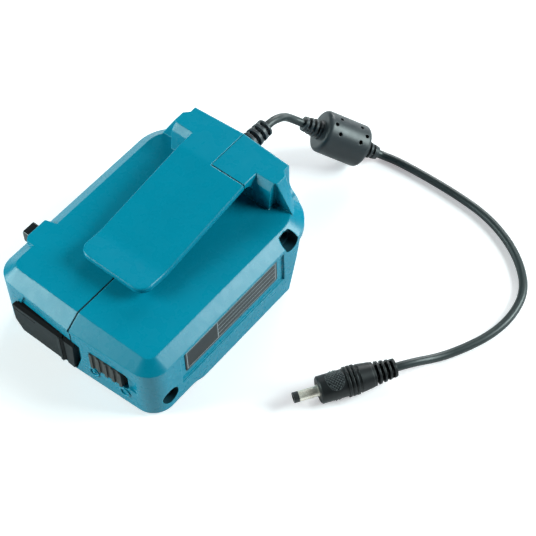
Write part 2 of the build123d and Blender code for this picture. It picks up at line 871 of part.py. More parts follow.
# Cover of the USB socket: a flap that swings on a vertical hinge and plugs the socket
with BuildPart() as usb_cover:
    # Plate in the recess
    hinge_side_x = cover_hinge_x - cover_hinge_gap / 2
    with BuildSketch(front_left.offset(moving_gap - cover_recess_depth)):
        Polygon(
            (recess_left_x + moving_gap, cover_bottom_z),
            (hinge_side_x, cover_bottom_z),
            (hinge_side_x, cover_top_z),
            (recess_left_x + moving_gap, cover_top_z),
            align=None,
        )
    extrude(amount=cover_thickness)
    # Front layer, which reaches over the wall on the left and has a flat face
    with BuildSketch(front_left.offset(moving_gap)):
        Polygon(
            (cover_left_x, cover_bottom_z + cover_low_corner_height),
            (cover_left_x + cover_low_corner_width, cover_bottom_z),
            (hinge_side_x, cover_bottom_z),
            (hinge_side_x, cover_top_z),
            (cover_left_x + cover_corner_width, cover_top_z),
            (cover_left_x, cover_top_z - cover_corner_height),
            align=None,
        )
    extrude(amount=cover_thickness)
    block(-past, past, -past, cover_face_y, 0, past, Mode.SUBTRACT)
    # Slanted left end
    with BuildSketch():
        Polygon(
            (cover_left_x, cover_face_y + cover_end_thickness),
            (cover_left_x + cover_slant, cover_face_y + cover_end_thickness + cover_slant),
            (cover_left_x - clear, cover_face_y + cover_end_thickness + cover_slant),
            (cover_left_x - clear, cover_face_y + cover_end_thickness),
            align=None,
        )
    extrude(amount=past, mode=Mode.SUBTRACT)
    # Corner cut off beside the hinge
    with BuildSketch():
        Polygon(
            (hinge_side_x, cover_face_y + cover_hinge_chamfer),
            (hinge_side_x - cover_hinge_chamfer, cover_face_y),
            (hinge_side_x, cover_face_y),
            align=None,
        )
    extrude(amount=past, mode=Mode.SUBTRACT)
    extrude(cover_bevel.sketch, amount=past, both=True, mode=Mode.SUBTRACT)
    # Upright rib beside the hinge
    rib_right_x = hinge_side_x - cover_rib_offset
    with BuildSketch(front_left.offset(moving_gap)):
        with Locations(
            (rib_right_x - cover_rib_width / 2, (cover_top_z - cover_bevel_height + cover_bottom_z) / 2)
        ):
            Rectangle(cover_rib_width, cover_top_z - cover_bevel_height - cover_bottom_z)
    extrude(amount=cover_rib_proud - moving_gap)
    # Groove under the lip for the fingernail
    block(
        cover_left_x - clear,
        cover_groove_right_x,
        cover_face_y - clear,
        cover_face_y + cover_groove_width,
        cover_groove_z,
        cover_groove_z + cover_groove_width,
        Mode.SUBTRACT,
    )
    # Hollow plug that goes into the socket's mouth
    with BuildSketch(front_left.offset(moving_gap - cover_recess_depth)):
        with Locations((socket_x, front_room_floor_z + board_thickness + socket_height / 2)):
            Rectangle(cover_plug_width, cover_plug_height)
            Rectangle(
                cover_plug_width - 2 * cover_plug_wall,
                cover_plug_height - 2 * cover_plug_wall,
                mode=Mode.SUBTRACT,
            )
    extrude(amount=-cover_plug_depth)
usb_cover.part.label = "usb_cover"

# Fixed end of the cover: a plate with a stem through the seam and a foot behind the wall
with BuildPart() as usb_cover_anchor:
    with BuildSketch(front_left.offset(-cover_recess_depth)):
        Polygon(
            (cover_hinge_x + cover_hinge_gap / 2, cover_bottom_z),
            (cover_bottom_right_x, cover_bottom_z),
            (cover_top_right_x, cover_top_z),
            (cover_hinge_x + cover_hinge_gap / 2, cover_top_z),
            align=None,
        )
    extrude(amount=cover_thickness + moving_gap)
    hinge_edge = usb_cover_anchor.edges().filter_by(Axis.Z).sort_by(Axis.X)[:2].sort_by(Axis.Y)[0]
    chamfer(hinge_edge, cover_hinge_chamfer)
    extrude(cover_bevel.sketch, amount=past, both=True, mode=Mode.SUBTRACT)
    block(
        -anchor_stem_width / 2 + thread_gap,
        anchor_stem_width / 2 - thread_gap,
        front_ridge_y + cover_recess_depth - clear / 4,
        front_room_left_y + anchor_foot_thickness,
        anchor_z - anchor_stem_height / 2 + thread_gap,
        anchor_z + anchor_stem_height / 2 - thread_gap,
    )
    block(
        -anchor_foot_width / 2,
        anchor_foot_width / 2,
        front_room_left_y,
        front_room_left_y + anchor_foot_thickness,
        anchor_z - anchor_foot_height / 2,
        anchor_z + anchor_foot_height / 2,
    )
usb_cover_anchor.part.label = "usb_cover_anchor"

# Small board under the USB socket
with BuildPart() as usb_board:
    block(
        usb_board_left_x,
        usb_board_right_x,
        usb_board_front_y,
        usb_board_rear_y,
        front_room_floor_z,
        front_room_floor_z + board_thickness,
    )
usb_board.part.label = "usb_board"

# Sheet-metal shell of the USB socket
socket_floor_z = front_room_floor_z + board_thickness
socket_z = socket_floor_z + socket_height / 2
socket_rear_y = socket_front_y + socket_length
with BuildPart() as usb_socket:
    with BuildSketch(Plane.XZ.offset(-socket_rear_y)):
        with Locations((socket_x, socket_z)):
            Rectangle(socket_width, socket_height)
            Rectangle(
                socket_width - 2 * socket_wall, socket_height - 2 * socket_wall, mode=Mode.SUBTRACT
            )
    extrude(amount=socket_length)
usb_socket.part.label = "usb_socket"

# Insulating tongue of the socket
tongue_top_z = socket_z + socket_height / 2 - socket_wall - tongue_drop
with BuildPart() as usb_tongue:
    block(
        socket_x - socket_width / 2 + socket_wall,
        socket_x + socket_width / 2 - socket_wall,
        socket_rear_y - tongue_root,
        socket_rear_y,
        socket_floor_z + socket_wall,
        socket_floor_z + socket_height - socket_wall,
    )
    block(
        socket_x - tongue_width / 2,
        socket_x + tongue_width / 2,
        socket_front_y + tongue_setback,
        socket_rear_y - tongue_root,
        tongue_top_z - tongue_thickness,
        tongue_top_z,
    )
usb_tongue.part.label = "usb_tongue"

# Four contact strips under the tongue
with BuildPart() as usb_contacts:
    for k in range(4):
        strip_x = socket_x + (k - 1.5) * contact_pitch
        block(
            strip_x - contact_width / 2,
            strip_x + contact_width / 2,
            socket_front_y + tongue_setback + contact_thickness,
            socket_front_y + tongue_setback + contact_thickness + contact_length,
            tongue_top_z - tongue_thickness - contact_thickness,
            tongue_top_z - tongue_thickness,
        )
usb_contacts.part.label = "usb_contacts"

# Selector slider: ribbed front, a flange behind the wall and a nub that drives the switch
knob_z = (knob_bottom_z + knob_top_z) / 2
with BuildPart() as selector_knob:
    with BuildSketch(front_right.offset(knob_proud)):
        with Locations(((knob_left_u + knob_right_u) / 2, knob_z)):
            Rectangle(knob_right_u - knob_left_u, knob_top_z - knob_bottom_z)
    extrude(amount=-knob_proud - wall - moving_gap)
    with BuildSketch(front_right.offset(knob_proud)):
        for k in range(knob_rib_count):
            rib_pitch = (knob_right_u - knob_left_u - knob_rib_width) / (knob_rib_count - 1)
            with Locations((knob_left_u + knob_rib_width / 2 + k * rib_pitch, knob_z)):
                Rectangle(knob_rib_width, knob_top_z - knob_bottom_z)
    extrude(amount=knob_rib_height)
    with BuildSketch(front_right.offset(-wall - moving_gap)):
        with Locations(
            (
                (knob_flange_left_u + knob_flange_right_u) / 2,
                (knob_flange_bottom_z + knob_flange_top_z) / 2,
            )
        ):
            Rectangle(
                knob_flange_right_u - knob_flange_left_u, knob_flange_top_z - knob_flange_bottom_z
            )
    extrude(amount=-knob_flange_thickness)
    with BuildSketch(front_right.offset(-wall - moving_gap - knob_flange_thickness)):
        with Locations((knob_nub_u, knob_z)):
            Rectangle(knob_nub_width, knob_nub_height)
    extrude(amount=-knob_nub_length)
selector_knob.part.label = "selector_knob"

# Slide switch behind the slider
with BuildPart() as selector_switch:
    block(
        selector_left_x,
        selector_right_x,
        selector_front_y,
        selector_front_y + selector_depth,
        selector_shelf_z,
        selector_shelf_z + selector_height,
    )
    block(
        knob_nub_u - knob_nub_width / 2 - 2 * moving_gap,
        knob_nub_u + knob_nub_width / 2 + knob_travel + 2 * moving_gap,
        selector_front_y,
        selector_front_y + selector_window_depth,
        knob_z - selector_window_height / 2,
        knob_z + selector_window_height / 2,
        Mode.SUBTRACT,
    )
selector_switch.part.label = "selector_switch"

# Push button on the left side, with a flange that keeps it in its opening
with BuildPart() as power_button:
    with BuildSketch(Plane.YZ.offset(button_tip_x)):
        with Locations((button_y, button_z)):
            RectangleRounded(button_width, button_height, button_edge_radius)
    extrude(amount=button_flange_x - button_tip_x)
    fillet(power_button.faces().sort_by(Axis.X)[0].edges(), button_edge_radius / 2)
    block(
        button_flange_x,
        button_flange_x + button_flange_thickness,
        button_y - button_flange_width / 2,
        button_y + button_flange_width / 2,
        button_flange_bottom_z,
        button_flange_top_z,
    )
power_button.part.label = "power_button"

# Tact switch that the button presses
with BuildPart() as tact_switch:
    block(
        tact_front_x,
        tact_front_x + tact_depth,
        button_y - tact_width / 2,
        button_y + tact_width / 2,
        board_top_z,
        board_top_z + tact_height,
    )
    bar_x(
        tact_front_x - tact_plunger_length, tact_front_x, button_y, button_z, tact_plunger_radius
    )
tact_switch.part.label = "tact_switch"

# Main board on its posts
with BuildPart() as circuit_board:
    block(
        -board_half_width, board_half_width, board_front_y, board_rear_y, board_z, board_top_z
    )
    for hand in (-1, 1):
        for post_y in (post_front_y, post_rear_y):
            bar_z(
                hand * post_x, post_y, board_z, board_top_z, board_hole_radius, Mode.SUBTRACT
            )
    for tail_x in (-blade_x, -signal_blade_x, signal_blade_x, blade_x):
        block(
            tail_x - blade_thickness / 2 - board_gap,
            tail_x + blade_thickness / 2 + board_gap,
            blade_front_y - board_gap,
            blade_tail_rear_y + board_gap,
            board_z,
            board_top_z,
            Mode.SUBTRACT,
        )
circuit_board.part.label = "circuit_board"

# Four screws that hold the main board
with BuildPart() as board_screws:
    for hand in (-1, 1):
        for post_y in (post_front_y, post_rear_y):
            bar_z(
                hand * post_x,
                post_y,
                board_top_z,
                board_top_z + board_screw_head_height,
                board_screw_head_radius,
            )
            bar_z(hand * post_x, post_y, board_screw_end_z, board_top_z, board_screw_radius)
board_screws.part.label = "board_screws"

# Shielded inductor
with BuildPart() as inductor:
    with BuildSketch(Plane.XY.offset(board_top_z)):
        with Locations((inductor_x, inductor_y)):
            RectangleRounded(inductor_size, inductor_size, inductor_corner)
    extrude(amount=inductor_height)
    with BuildSketch(Plane.XY.offset(board_top_z + inductor_height)):
        with Locations((inductor_x, inductor_y)):
            Circle(inductor_cap_radius)
    extrude(amount=inductor_cap_height)
inductor.part.label = "inductor"

# Two electrolytic capacitors that lie on the board
with BuildPart() as capacitors:
    for k in range(2):
        bar_y(
            capacitor_x - k * capacitor_pitch,
            board_top_z + capacitor_radius,
            capacitor_y - capacitor_length / 2,
            capacitor_y + capacitor_length / 2,
            capacitor_radius,
        )
capacitors.part.label = "capacitors"

# Flat chips
with BuildPart() as chips:
    for chip_x, chip_y, chip_width, chip_depth in chip_places:
        block(
            chip_x - chip_width / 2,
            chip_x + chip_width / 2,
            chip_y - chip_depth / 2,
            chip_y + chip_depth / 2,
            board_top_z,
            board_top_z + chip_height,
        )
chips.part.label = "chips"

# Output fuse
with BuildPart() as fuse:
    block(
        fuse_x - fuse_width / 2,
        fuse_x + fuse_width / 2,
        fuse_y - fuse_length / 2,
        fuse_y + fuse_length / 2,
        board_top_z,
        board_top_z + fuse_height,
    )
fuse.part.label = "fuse"

# Terminal block under the deck, slit for the four blades
with BuildPart() as terminal_block:
    block(
        -terminal_half_width,
        terminal_half_width,
        terminal_front_y,
        terminal_rear_y,
        terminal_bottom_z,
        bay_ceiling_z,
    )
    block(
        -terminal_half_width,
        terminal_half_width,
        terminal_rear_y,
        terminal_step_y,
        terminal_step_z,
        bay_ceiling_z,
    )
    for slit_x, slit_bottom_z, slit_top_z in [
        (-blade_x, blade_bottom_z, blade_top_z),
        (-signal_blade_x, signal_blade_bottom_z, signal_blade_top_z),
        (signal_blade_x, signal_blade_bottom_z, signal_blade_top_z),
        (blade_x, blade_bottom_z, blade_top_z),
    ]:
        slit_half = blade_thickness / 2 + thread_gap
        block(
            slit_x - slit_half,
            slit_x + slit_half,
            blade_front_y - thread_gap,
            terminal_rear_y + clear,
            slit_bottom_z,
            slit_top_z + thread_gap,
            Mode.SUBTRACT,
        )
        block(
            slit_x - slit_half,
            slit_x + slit_half,
            blade_front_y - thread_gap,
            blade_tail_rear_y + thread_gap,
            slit_top_z,
            bay_ceiling_z,
            Mode.SUBTRACT,
        )
terminal_block.part.label = "terminal_block"

# Power blades with tails that reach through the main board
with BuildPart() as power_blades:
    for hand in (-1, 1):
        blade_left_x = hand * blade_x - blade_thickness / 2
        blade_right_x = hand * blade_x + blade_thickness / 2
        block(
            blade_left_x, blade_right_x, blade_front_y, blade_rear_y, blade_bottom_z, blade_top_z
        )
        block(
            blade_left_x,
            blade_right_x,
            blade_front_y,
            blade_tail_rear_y,
            blade_top_z,
            blade_tail_top_z,
        )
power_blades.part.label = "power_blades"

# Signal blades between the power blades
with BuildPart() as signal_blades:
    for hand in (-1, 1):
        blade_left_x = hand * signal_blade_x - blade_thickness / 2
        blade_right_x = hand * signal_blade_x + blade_thickness / 2
        block(
            blade_left_x,
            blade_right_x,
            blade_front_y,
            signal_blade_rear_y,
            signal_blade_bottom_z,
            signal_blade_top_z,
        )
        block(
            blade_left_x,
            blade_right_x,
            blade_front_y,
            blade_tail_rear_y,
            signal_blade_top_z,
            blade_tail_top_z,
        )
signal_blades.part.label = "signal_blades"


# Stepped outline of a ribbed sleeve: pairs of position and radius from one end to the other
def ribbed_outline(start, end, start_radius, end_radius, grooves, groove_width, rib_width, core):
    count = max(grooves, 1)
    collar = (end - start) - count * groove_width - (count - 1) * rib_width
    first = collar / 2
    outline = []
    edges = [start]
    position = start + first
    for k in range(count):
        edges += [position, position + groove_width]
        position += groove_width + rib_width
    edges.append(end)
    for k in range(len(edges) - 1):
        low, high = edges[k], edges[k + 1]
        if k % 2:
            outline += [(low, core), (high, core)]
        else:
            slope = (end_radius - start_radius) / (end - start)
            outline.append((low, start_radius + slope * (low - start)))
            outline.append((high, start_radius + slope * (high - start)))
    return outline


# Strain relief, clamped in the tower's rear wall
with BuildPart() as strain_relief:
    with BuildSketch(Plane.YZ):
        relief_outline = ribbed_outline(
            relief_collar_y,
            relief_tip_y,
            relief_root_radius,
            relief_tip_radius,
            relief_groove_count,
            relief_groove_width,
            relief_rib_width,
            relief_core_radius,
        )
        with BuildLine():
            Polyline(
                (tower_room_rear_y - relief_flange_thickness, relief_z),
                (tower_room_rear_y - relief_flange_thickness, relief_z + relief_flange_radius),
                (tower_room_rear_y, relief_z + relief_flange_radius),
                (tower_room_rear_y, relief_z + relief_hole_radius - relief_neck_gap),
                (relief_collar_y, relief_z + relief_hole_radius - relief_neck_gap),
                *[(along, relief_z + radius) for along, radius in relief_outline],
                (relief_tip_y, relief_z),
                close=True,
            )
        make_face()
    revolve(axis=Axis((0, 0, relief_z), (0, 1, 0)))
    # Spines that bridge the grooves on two sides
    relief_middle_y = (relief_collar_y + relief_tip_y) / 2
    with Locations(Location((0, relief_middle_y, relief_z), (0, 45, 0))):
        Box(
            2 * relief_tip_radius - moving_gap,
            relief_tip_y - relief_collar_y,
            relief_spine_width,
        )
strain_relief.part.label = "strain_relief"

# Ferrite bead on the cord: its axis runs down from the left end to the right end
heading = math.radians(bead_heading)
tilt = math.radians(bead_tilt)
bead_direction = Vector(
    math.cos(tilt) * math.cos(heading), math.cos(tilt) * math.sin(heading), -math.sin(tilt)
)
bead_left = Vector(bead_left_x, bead_left_y, bead_left_z)
bead_plane = Plane(
    origin=bead_left, x_dir=bead_direction, z_dir=(math.sin(heading), -math.cos(heading), 0)
)
bead_axis = Axis(bead_left, bead_direction)
left_boot_tip = bead_left - bead_direction * left_boot_length
right_boot_tip = bead_left + bead_direction * (bead_length + right_boot_length)

# Moulded case of the bead with a ribbed boot at both ends
with BuildPart() as bead_case:
    with BuildSketch(bead_plane) as bead_profile:
        left_outline = ribbed_outline(
            -left_boot_length,
            0,
            left_boot_tip_radius,
            left_boot_root_radius,
            left_boot_groove_count,
            boot_groove_width,
            boot_rib_width,
            boot_core_radius,
        )
        right_outline = ribbed_outline(
            bead_length,
            bead_length + right_boot_length,
            right_boot_root_radius,
            right_boot_tip_radius,
            right_boot_groove_count,
            boot_groove_width,
            boot_rib_width,
            boot_core_radius,
        )
        with BuildLine():
            Polyline(
                (-left_boot_length, 0),
                *left_outline,
                (0, bead_radius),
                (bead_length, bead_radius),
                *right_outline,
                (bead_length + right_boot_length, 0),
                close=True,
            )
        make_face()
        bead_shoulders = bead_profile.vertices().filter_by(lambda v: v.Y > bead_radius - moving_gap)
        fillet(bead_shoulders, bead_end_radius)
    revolve(axis=bead_axis)
    # Spines that bridge the boots' grooves
    for boot_start, boot_end, spine_half in [
        (-left_boot_length, 0, left_boot_tip_radius),
        (bead_length, bead_length + right_boot_length, right_boot_tip_radius),
    ]:
        with Locations(bead_plane.offset(0).location * Location(((boot_start + boot_end) / 2, 0, 0))):
            Box(boot_end - boot_start, boot_spine_width, 2 * spine_half - moving_gap)
    # Closed hollow for the core
    core_start = (bead_length - bead_core_length) / 2
    with BuildSketch(bead_plane):
        with Locations(
            (bead_length / 2, (bead_core_radius + bead_core_bore) / 2)
        ):
            Rectangle(
                bead_core_length + 2 * bead_core_gap,
                bead_core_radius - bead_core_bore + 2 * bead_core_gap,
            )
    revolve(axis=bead_axis, mode=Mode.SUBTRACT)
    # Small moulding holes near both ends
    for hole_along, hole_turn in [
        (bead_hole_side, -bead_hole_spread),
        (bead_hole_end, 0),
        (bead_hole_side, bead_hole_spread),
        (bead_length - bead_hole_side, -bead_hole_spread),
        (bead_length - bead_hole_end, 0),
        (bead_length - bead_hole_side, bead_hole_spread),
    ]:
        with Locations(
            bead_plane.location
            * Location((hole_along, 0, 0), (bead_hole_angle + hole_turn, 0, 0))
            * Location((0, bead_radius, 0), (90, 0, 0))
        ):
            Cylinder(bead_hole_radius, 2 * (bead_radius - bead_core_radius), mode=Mode.SUBTRACT)
bead_case.part.label = "bead_case"

# Ferrite core inside the case
with BuildPart() as bead_core:
    with BuildSketch(bead_plane):
        with Locations((bead_length / 2, (bead_core_radius + bead_core_bore) / 2)):
            Rectangle(bead_core_length, bead_core_radius - bead_core_bore)
    revolve(axis=bead_axis)
bead_core.part.label = "bead_core"

# Coaxial plug: local x runs from the plug's front face to its cord
plug_turn = math.radians(plug_heading)
plug_direction = Vector(math.cos(plug_turn), math.sin(plug_turn), 0)
plug_front = Vector(plug_front_x, plug_front_y, plug_z)
plug_plane = Plane(
    origin=plug_front, x_dir=plug_direction, z_dir=(math.sin(plug_turn), -math.cos(plug_turn), 0)
)
plug_axis = Axis(plug_front, plug_direction)
plug_cord_end = plug_front + plug_direction * plug_length

with BuildPart() as plug_body:
    with BuildSketch(plug_plane):
        ring_outline = []
        for k in range(plug_ring_count):
            ring_start = plug_ring_start + k * plug_ring_pitch
            ring_outline += [
                (ring_start, plug_grip_radius),
                (ring_start, plug_ring_radius),
                (ring_start + plug_ring_width, plug_ring_radius),
                (ring_start + plug_ring_width, plug_grip_radius),
            ]
        boot_outline = ribbed_outline(
            plug_boot_start,
            plug_length,
            plug_boot_root_radius,
            plug_boot_tip_radius,
            plug_boot_groove_count,
            plug_boot_groove_width,
            plug_boot_rib_width,
            plug_boot_core_radius,
        )
        with BuildLine():
            Polyline(
                (0, 0),
                (0, plug_grip_radius - plug_nose_radius),
                (plug_nose_radius, plug_grip_radius),
                *ring_outline,
                (plug_collar_start, plug_grip_radius),
                (plug_collar_start, plug_collar_radius),
                (plug_boot_start, plug_collar_end_radius),
                *boot_outline,
                (plug_length, 0),
                close=True,
            )
        make_face()
    revolve(axis=plug_axis)
    with Locations(
        plug_plane.location
        * Location(((plug_boot_start + plug_length) / 2, 0, 0), (45, 0, 0))
    ):
        Box(
            plug_length - plug_boot_start,
            plug_boot_spine_width,
            2 * plug_boot_tip_radius - moving_gap,
        )
    with BuildSketch(plug_plane):
        with Locations((barrel_root / 2, barrel_root_radius / 2)):
            Rectangle(barrel_root, barrel_root_radius)
    revolve(axis=plug_axis, mode=Mode.SUBTRACT)
plug_body.part.label = "plug_body"

# Metal barrel, insulating tip with its lining, and the centre contact
barrel_inner = barrel_radius - barrel_wall
liner_inner = barrel_inner - plug_liner_wall
with BuildPart() as plug_barrel:
    with BuildSketch(plug_plane):
        Polygon(
            (-barrel_length, barrel_inner),
            (-barrel_length, barrel_radius),
            (-barrel_collar_width, barrel_radius),
            (-barrel_collar_width, barrel_root_radius),
            (barrel_root, barrel_root_radius),
            (barrel_root, barrel_inner),
            align=None,
        )
    revolve(axis=plug_axis)
plug_barrel.part.label = "plug_barrel"

with BuildPart() as plug_insulator:
    with BuildSketch(plug_plane):
        Polygon(
            (-barrel_length - plug_tip_length, liner_inner),
            (-barrel_length - plug_tip_length, barrel_radius),
            (-barrel_length, barrel_radius),
            (-barrel_length, barrel_inner),
            (barrel_root, barrel_inner),
            (barrel_root, liner_inner),
            align=None,
        )
    revolve(axis=plug_axis)
plug_insulator.part.label = "plug_insulator"

with BuildPart() as plug_contact:
    with BuildSketch(plug_plane):
        contact_start = plug_contact_setback - barrel_length - plug_tip_length
        with Locations(((contact_start + barrel_root) / 2, liner_inner - plug_contact_wall / 2)):
            Rectangle(barrel_root - contact_start, plug_contact_wall)
    revolve(axis=plug_axis)
plug_contact.part.label = "plug_contact"


# Radii for a route of straight runs: each arc takes less than half of its shorter run
def bend_radii(route):
    radii = []
    for before, corner, after in zip(route, route[1:], route[2:]):
        first = Vector(*corner) - Vector(*before)
        second = Vector(*after) - Vector(*corner)
        half_turn = math.radians(first.get_angle(second)) / 2
        radii.append(0.45 * min(first.length, second.length) / math.tan(half_turn))
    return radii


# Short cord from the strain relief down to the bead
cord_floor_z = cord_diameter / 2
short_exit = 3.4
short_end_run = 3.6
short_route = [
    (0, relief_tip_y, relief_z),
    (0, relief_tip_y + short_exit, relief_z),
    (0.19, 68.65, 33.01),
    (-0.88, 73.58, 28.32),
    (-0.69, 76.00, 25.66),
    tuple(left_boot_tip - bead_direction * short_end_run),
    tuple(left_boot_tip),
]
with BuildPart() as cord_short:
    with BuildLine():
        short_path = FilletPolyline(*short_route, radius=bend_radii(short_route))
    with BuildSketch(Plane(origin=short_path @ 0, z_dir=short_path % 0)):
        Circle(cord_diameter / 2)
    sweep()
cord_short.part.label = "cord_short"

# Long cord from the bead over the surface to the plug
long_drop = (right_boot_tip.Z - cord_floor_z) / math.sin(tilt)
long_end_run = 6.5
long_rise_x = 100.21
long_rise_y = 36.84
long_route = [
    tuple(right_boot_tip),
    tuple(right_boot_tip + bead_direction * long_drop),
    (34.20, 100.87, cord_floor_z),
    (48.65, 101.53, cord_floor_z),
    (62.95, 101.52, cord_floor_z),
    (76.90, 100.27, cord_floor_z),
    (89.64, 95.87, cord_floor_z),
    (100.21, 89.21, cord_floor_z),
    (108.21, 80.21, cord_floor_z),
    (110.74, 68.61, cord_floor_z),
    (109.54, 57.37, cord_floor_z),
    (105.57, 46.87, cord_floor_z),
    (long_rise_x, long_rise_y, cord_floor_z),
    tuple(plug_cord_end + plug_direction * long_end_run),
    tuple(plug_cord_end),
]
with BuildPart() as cord_long:
    with BuildLine():
        long_path = FilletPolyline(*long_route, radius=bend_radii(long_route))
    with BuildSketch(Plane(origin=long_path @ 0, z_dir=long_path % 0)):
        Circle(cord_diameter / 2)
    sweep()
cord_long.part.label = "cord_long"

for route_name, route, path, cord in [
    ("short", short_route, short_path, cord_short),
    ("long", long_route, long_path, cord_long),
]:
    ideal = math.pi * cord_diameter**2 / 4 * path.length
    print(route_name, "length", round(path.length, 2), "volume ratio", round(cord.part.volume / ideal, 5))
    print([round(radius, 1) for radius in bend_radii(route)])

# Wires inside: two from the strain relief to the main board, two on to the small board
wire_radius = 0.6
wire_bend = 1.6
wire_spread = 1.6
output_wire_x = -13.2
output_turn_y = 40.5
output_low_z = 27.2
output_board_y = 20.0
usb_wire_x = -19.0
usb_wire_top_z = 24.0
usb_wire_board_y = -26.6
usb_wire_drop_y = -30.5
with BuildPart() as internal_wires:
    for k in range(2):
        aside = (k - 0.5) * wire_spread
        output_route = [
            (aside, tower_room_rear_y - relief_flange_thickness, relief_z),
            (aside, output_turn_y + aside, relief_z),
            (aside, output_turn_y + aside, output_low_z),
            (output_wire_x - aside, output_turn_y + aside, output_low_z),
            (output_wire_x - aside, output_board_y, output_low_z),
            (output_wire_x - aside, output_board_y, board_top_z),
        ]
        usb_route = [
            (usb_wire_x + aside, usb_wire_board_y, board_top_z),
            (usb_wire_x + aside, usb_wire_board_y, usb_wire_top_z),
            (usb_wire_x + aside, usb_wire_drop_y, usb_wire_top_z),
            (usb_wire_x + aside, usb_wire_drop_y, socket_floor_z),
        ]
        for wire_route in (output_route, usb_route):
            with BuildLine():
                wire_path = FilletPolyline(*wire_route, radius=0.8 * wire_bend)
            with BuildSketch(Plane(origin=wire_path @ 0, z_dir=wire_path % 0)):
                Circle(wire_radius)
            sweep(path=wire_path)
internal_wires.part.label = "internal_wires"

for piece in (
    left_shell,
    right_shell,
    rating_label,
    case_screws,
    usb_cover,
    usb_cover_anchor,
    usb_board,
    usb_socket,
    usb_tongue,
    usb_contacts,
    selector_knob,
    selector_switch,
    power_button,
    tact_switch,
    circuit_board,
    board_screws,
    inductor,
    capacitors,
    chips,
    fuse,
    terminal_block,
    power_blades,
    signal_blades,
    strain_relief,
    bead_case,
    bead_core,
    plug_body,
    plug_barrel,
    plug_insulator,
    plug_contact,
    cord_short,
    cord_long,
    internal_wires,
):
    solids = piece.part.solids()
    print(piece.part.label, piece.part.is_valid, len(solids), round(piece.part.volume, 1))
    export_step(piece.part, f"parts/{piece.part.label}.step")
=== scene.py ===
import bmesh
import bpy
import math
from mathutils import Matrix, Vector


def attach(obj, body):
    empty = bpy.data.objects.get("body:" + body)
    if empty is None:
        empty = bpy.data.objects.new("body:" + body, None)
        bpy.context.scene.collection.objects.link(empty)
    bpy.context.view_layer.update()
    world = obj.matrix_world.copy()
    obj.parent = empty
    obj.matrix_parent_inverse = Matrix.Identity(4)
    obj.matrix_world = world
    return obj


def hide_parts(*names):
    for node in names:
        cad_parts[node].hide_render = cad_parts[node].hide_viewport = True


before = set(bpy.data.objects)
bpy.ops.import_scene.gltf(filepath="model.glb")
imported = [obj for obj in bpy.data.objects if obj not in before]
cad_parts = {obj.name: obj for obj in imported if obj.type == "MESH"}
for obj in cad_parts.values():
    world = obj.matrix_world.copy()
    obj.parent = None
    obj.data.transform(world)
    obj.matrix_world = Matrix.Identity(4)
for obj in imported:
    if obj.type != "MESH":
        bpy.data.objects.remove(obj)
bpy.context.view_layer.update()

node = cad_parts

# Camera
# Stands in front of the adapter, to its right and well above it, with the lens far enough away
# that the sides hardly converge. The frame is square, so the sensor is as wide as it is high.
CAMERA_AZIMUTH = math.radians(40.929)
CAMERA_ELEVATION = math.radians(54.960)
CAMERA_ROLL = math.radians(-2.045)
CAMERA_PLACE = Vector((0.25048, -0.22930, 0.48914))
CAMERA_LENS = 105.83
CAMERA_SENSOR = 36.0
CAMERA_NEAREST = 0.02
CAMERA_FARTHEST = 20.0

back = Vector((
    math.sin(CAMERA_AZIMUTH) * math.cos(CAMERA_ELEVATION),
    -math.cos(CAMERA_AZIMUTH) * math.cos(CAMERA_ELEVATION),
    math.sin(CAMERA_ELEVATION),
))
level = Vector((math.cos(CAMERA_AZIMUTH), math.sin(CAMERA_AZIMUTH), 0))
rise = back.cross(level)
camera_x = level * math.cos(CAMERA_ROLL) + rise * math.sin(CAMERA_ROLL)
camera_y = rise * math.cos(CAMERA_ROLL) - level * math.sin(CAMERA_ROLL)
camera_data = bpy.data.cameras.new("photo_camera")
camera_data.lens = CAMERA_LENS
camera_data.sensor_width = CAMERA_SENSOR
camera_data.clip_start = CAMERA_NEAREST
camera_data.clip_end = CAMERA_FARTHEST
camera = bpy.data.objects.new("photo_camera", camera_data)
camera.matrix_world = Matrix.Translation(CAMERA_PLACE) @ Matrix(
    (camera_x, camera_y, back)
).transposed().to_4x4()
bpy.context.scene.collection.objects.link(camera)
bpy.context.scene.camera = camera
bpy.context.scene.view_settings.view_transform = "Standard"

# Floor and light
# White paper under three soft boxes. The paper shows as white and keeps the soft shadow. Two
# boxes stand so that the front and right slopes of the housing shine and its roof stays a deep
# plain colour. The third is low behind the adapter.
PAPER_HALF = 3.0
PAPER_DROP = 0.0001
PAPER_COLOUR = (0.90, 0.86, 0.87, 1)
PAPER_GLOW_COLOUR = (1.0, 0.97, 1.0, 1)
PAPER_GLOW = 0.37
PAPER_GLOW_FAR = 1.0
GLOW_GROWS_FROM = 0.35
GLOW_GROWS_TO = 0.90
ROOM_COLOUR = (0.93, 0.97, 1.0, 1)
ROOM_LIGHT = 0.03
ROOM_SEEN = (1, 1, 1, 1)
BOX_AIM = Vector((0.02, 0, 0.02))
# Name, way from the adapter, distance, width in metres, power in watts, tint
SOFT_BOXES = [
    ("rear_box", (-0.30, 0.85, 0.36), 1.20, 0.60, 7.8, (0.96, 1.0, 1.0)),
    ("front_box", (-0.71, -0.62, 0.40), 1.10, 0.60, 16.0, (0.80, 1.0, 0.97)),
    ("right_box", (0.65, 0.58, 0.50), 1.10, 0.54, 16.2, (0.84, 1.0, 0.99)),
]

paper_mesh = bpy.data.meshes.new("paper_sweep")
paper_corners = [(-1, -1), (1, -1), (1, 1), (-1, 1)]
paper_mesh.from_pydata(
    [(x * PAPER_HALF, y * PAPER_HALF, 0) for x, y in paper_corners], [], [(0, 1, 2, 3)]
)
paper_sweep = bpy.data.objects.new("paper_sweep", paper_mesh)
bpy.context.scene.collection.objects.link(paper_sweep)
paper_sweep.location.z = -PAPER_DROP


def place_of(nodes):
    """Position on the piece, in metres, the same wherever the piece has moved to."""
    return nodes.new("ShaderNodeTexCoord").outputs["Object"]


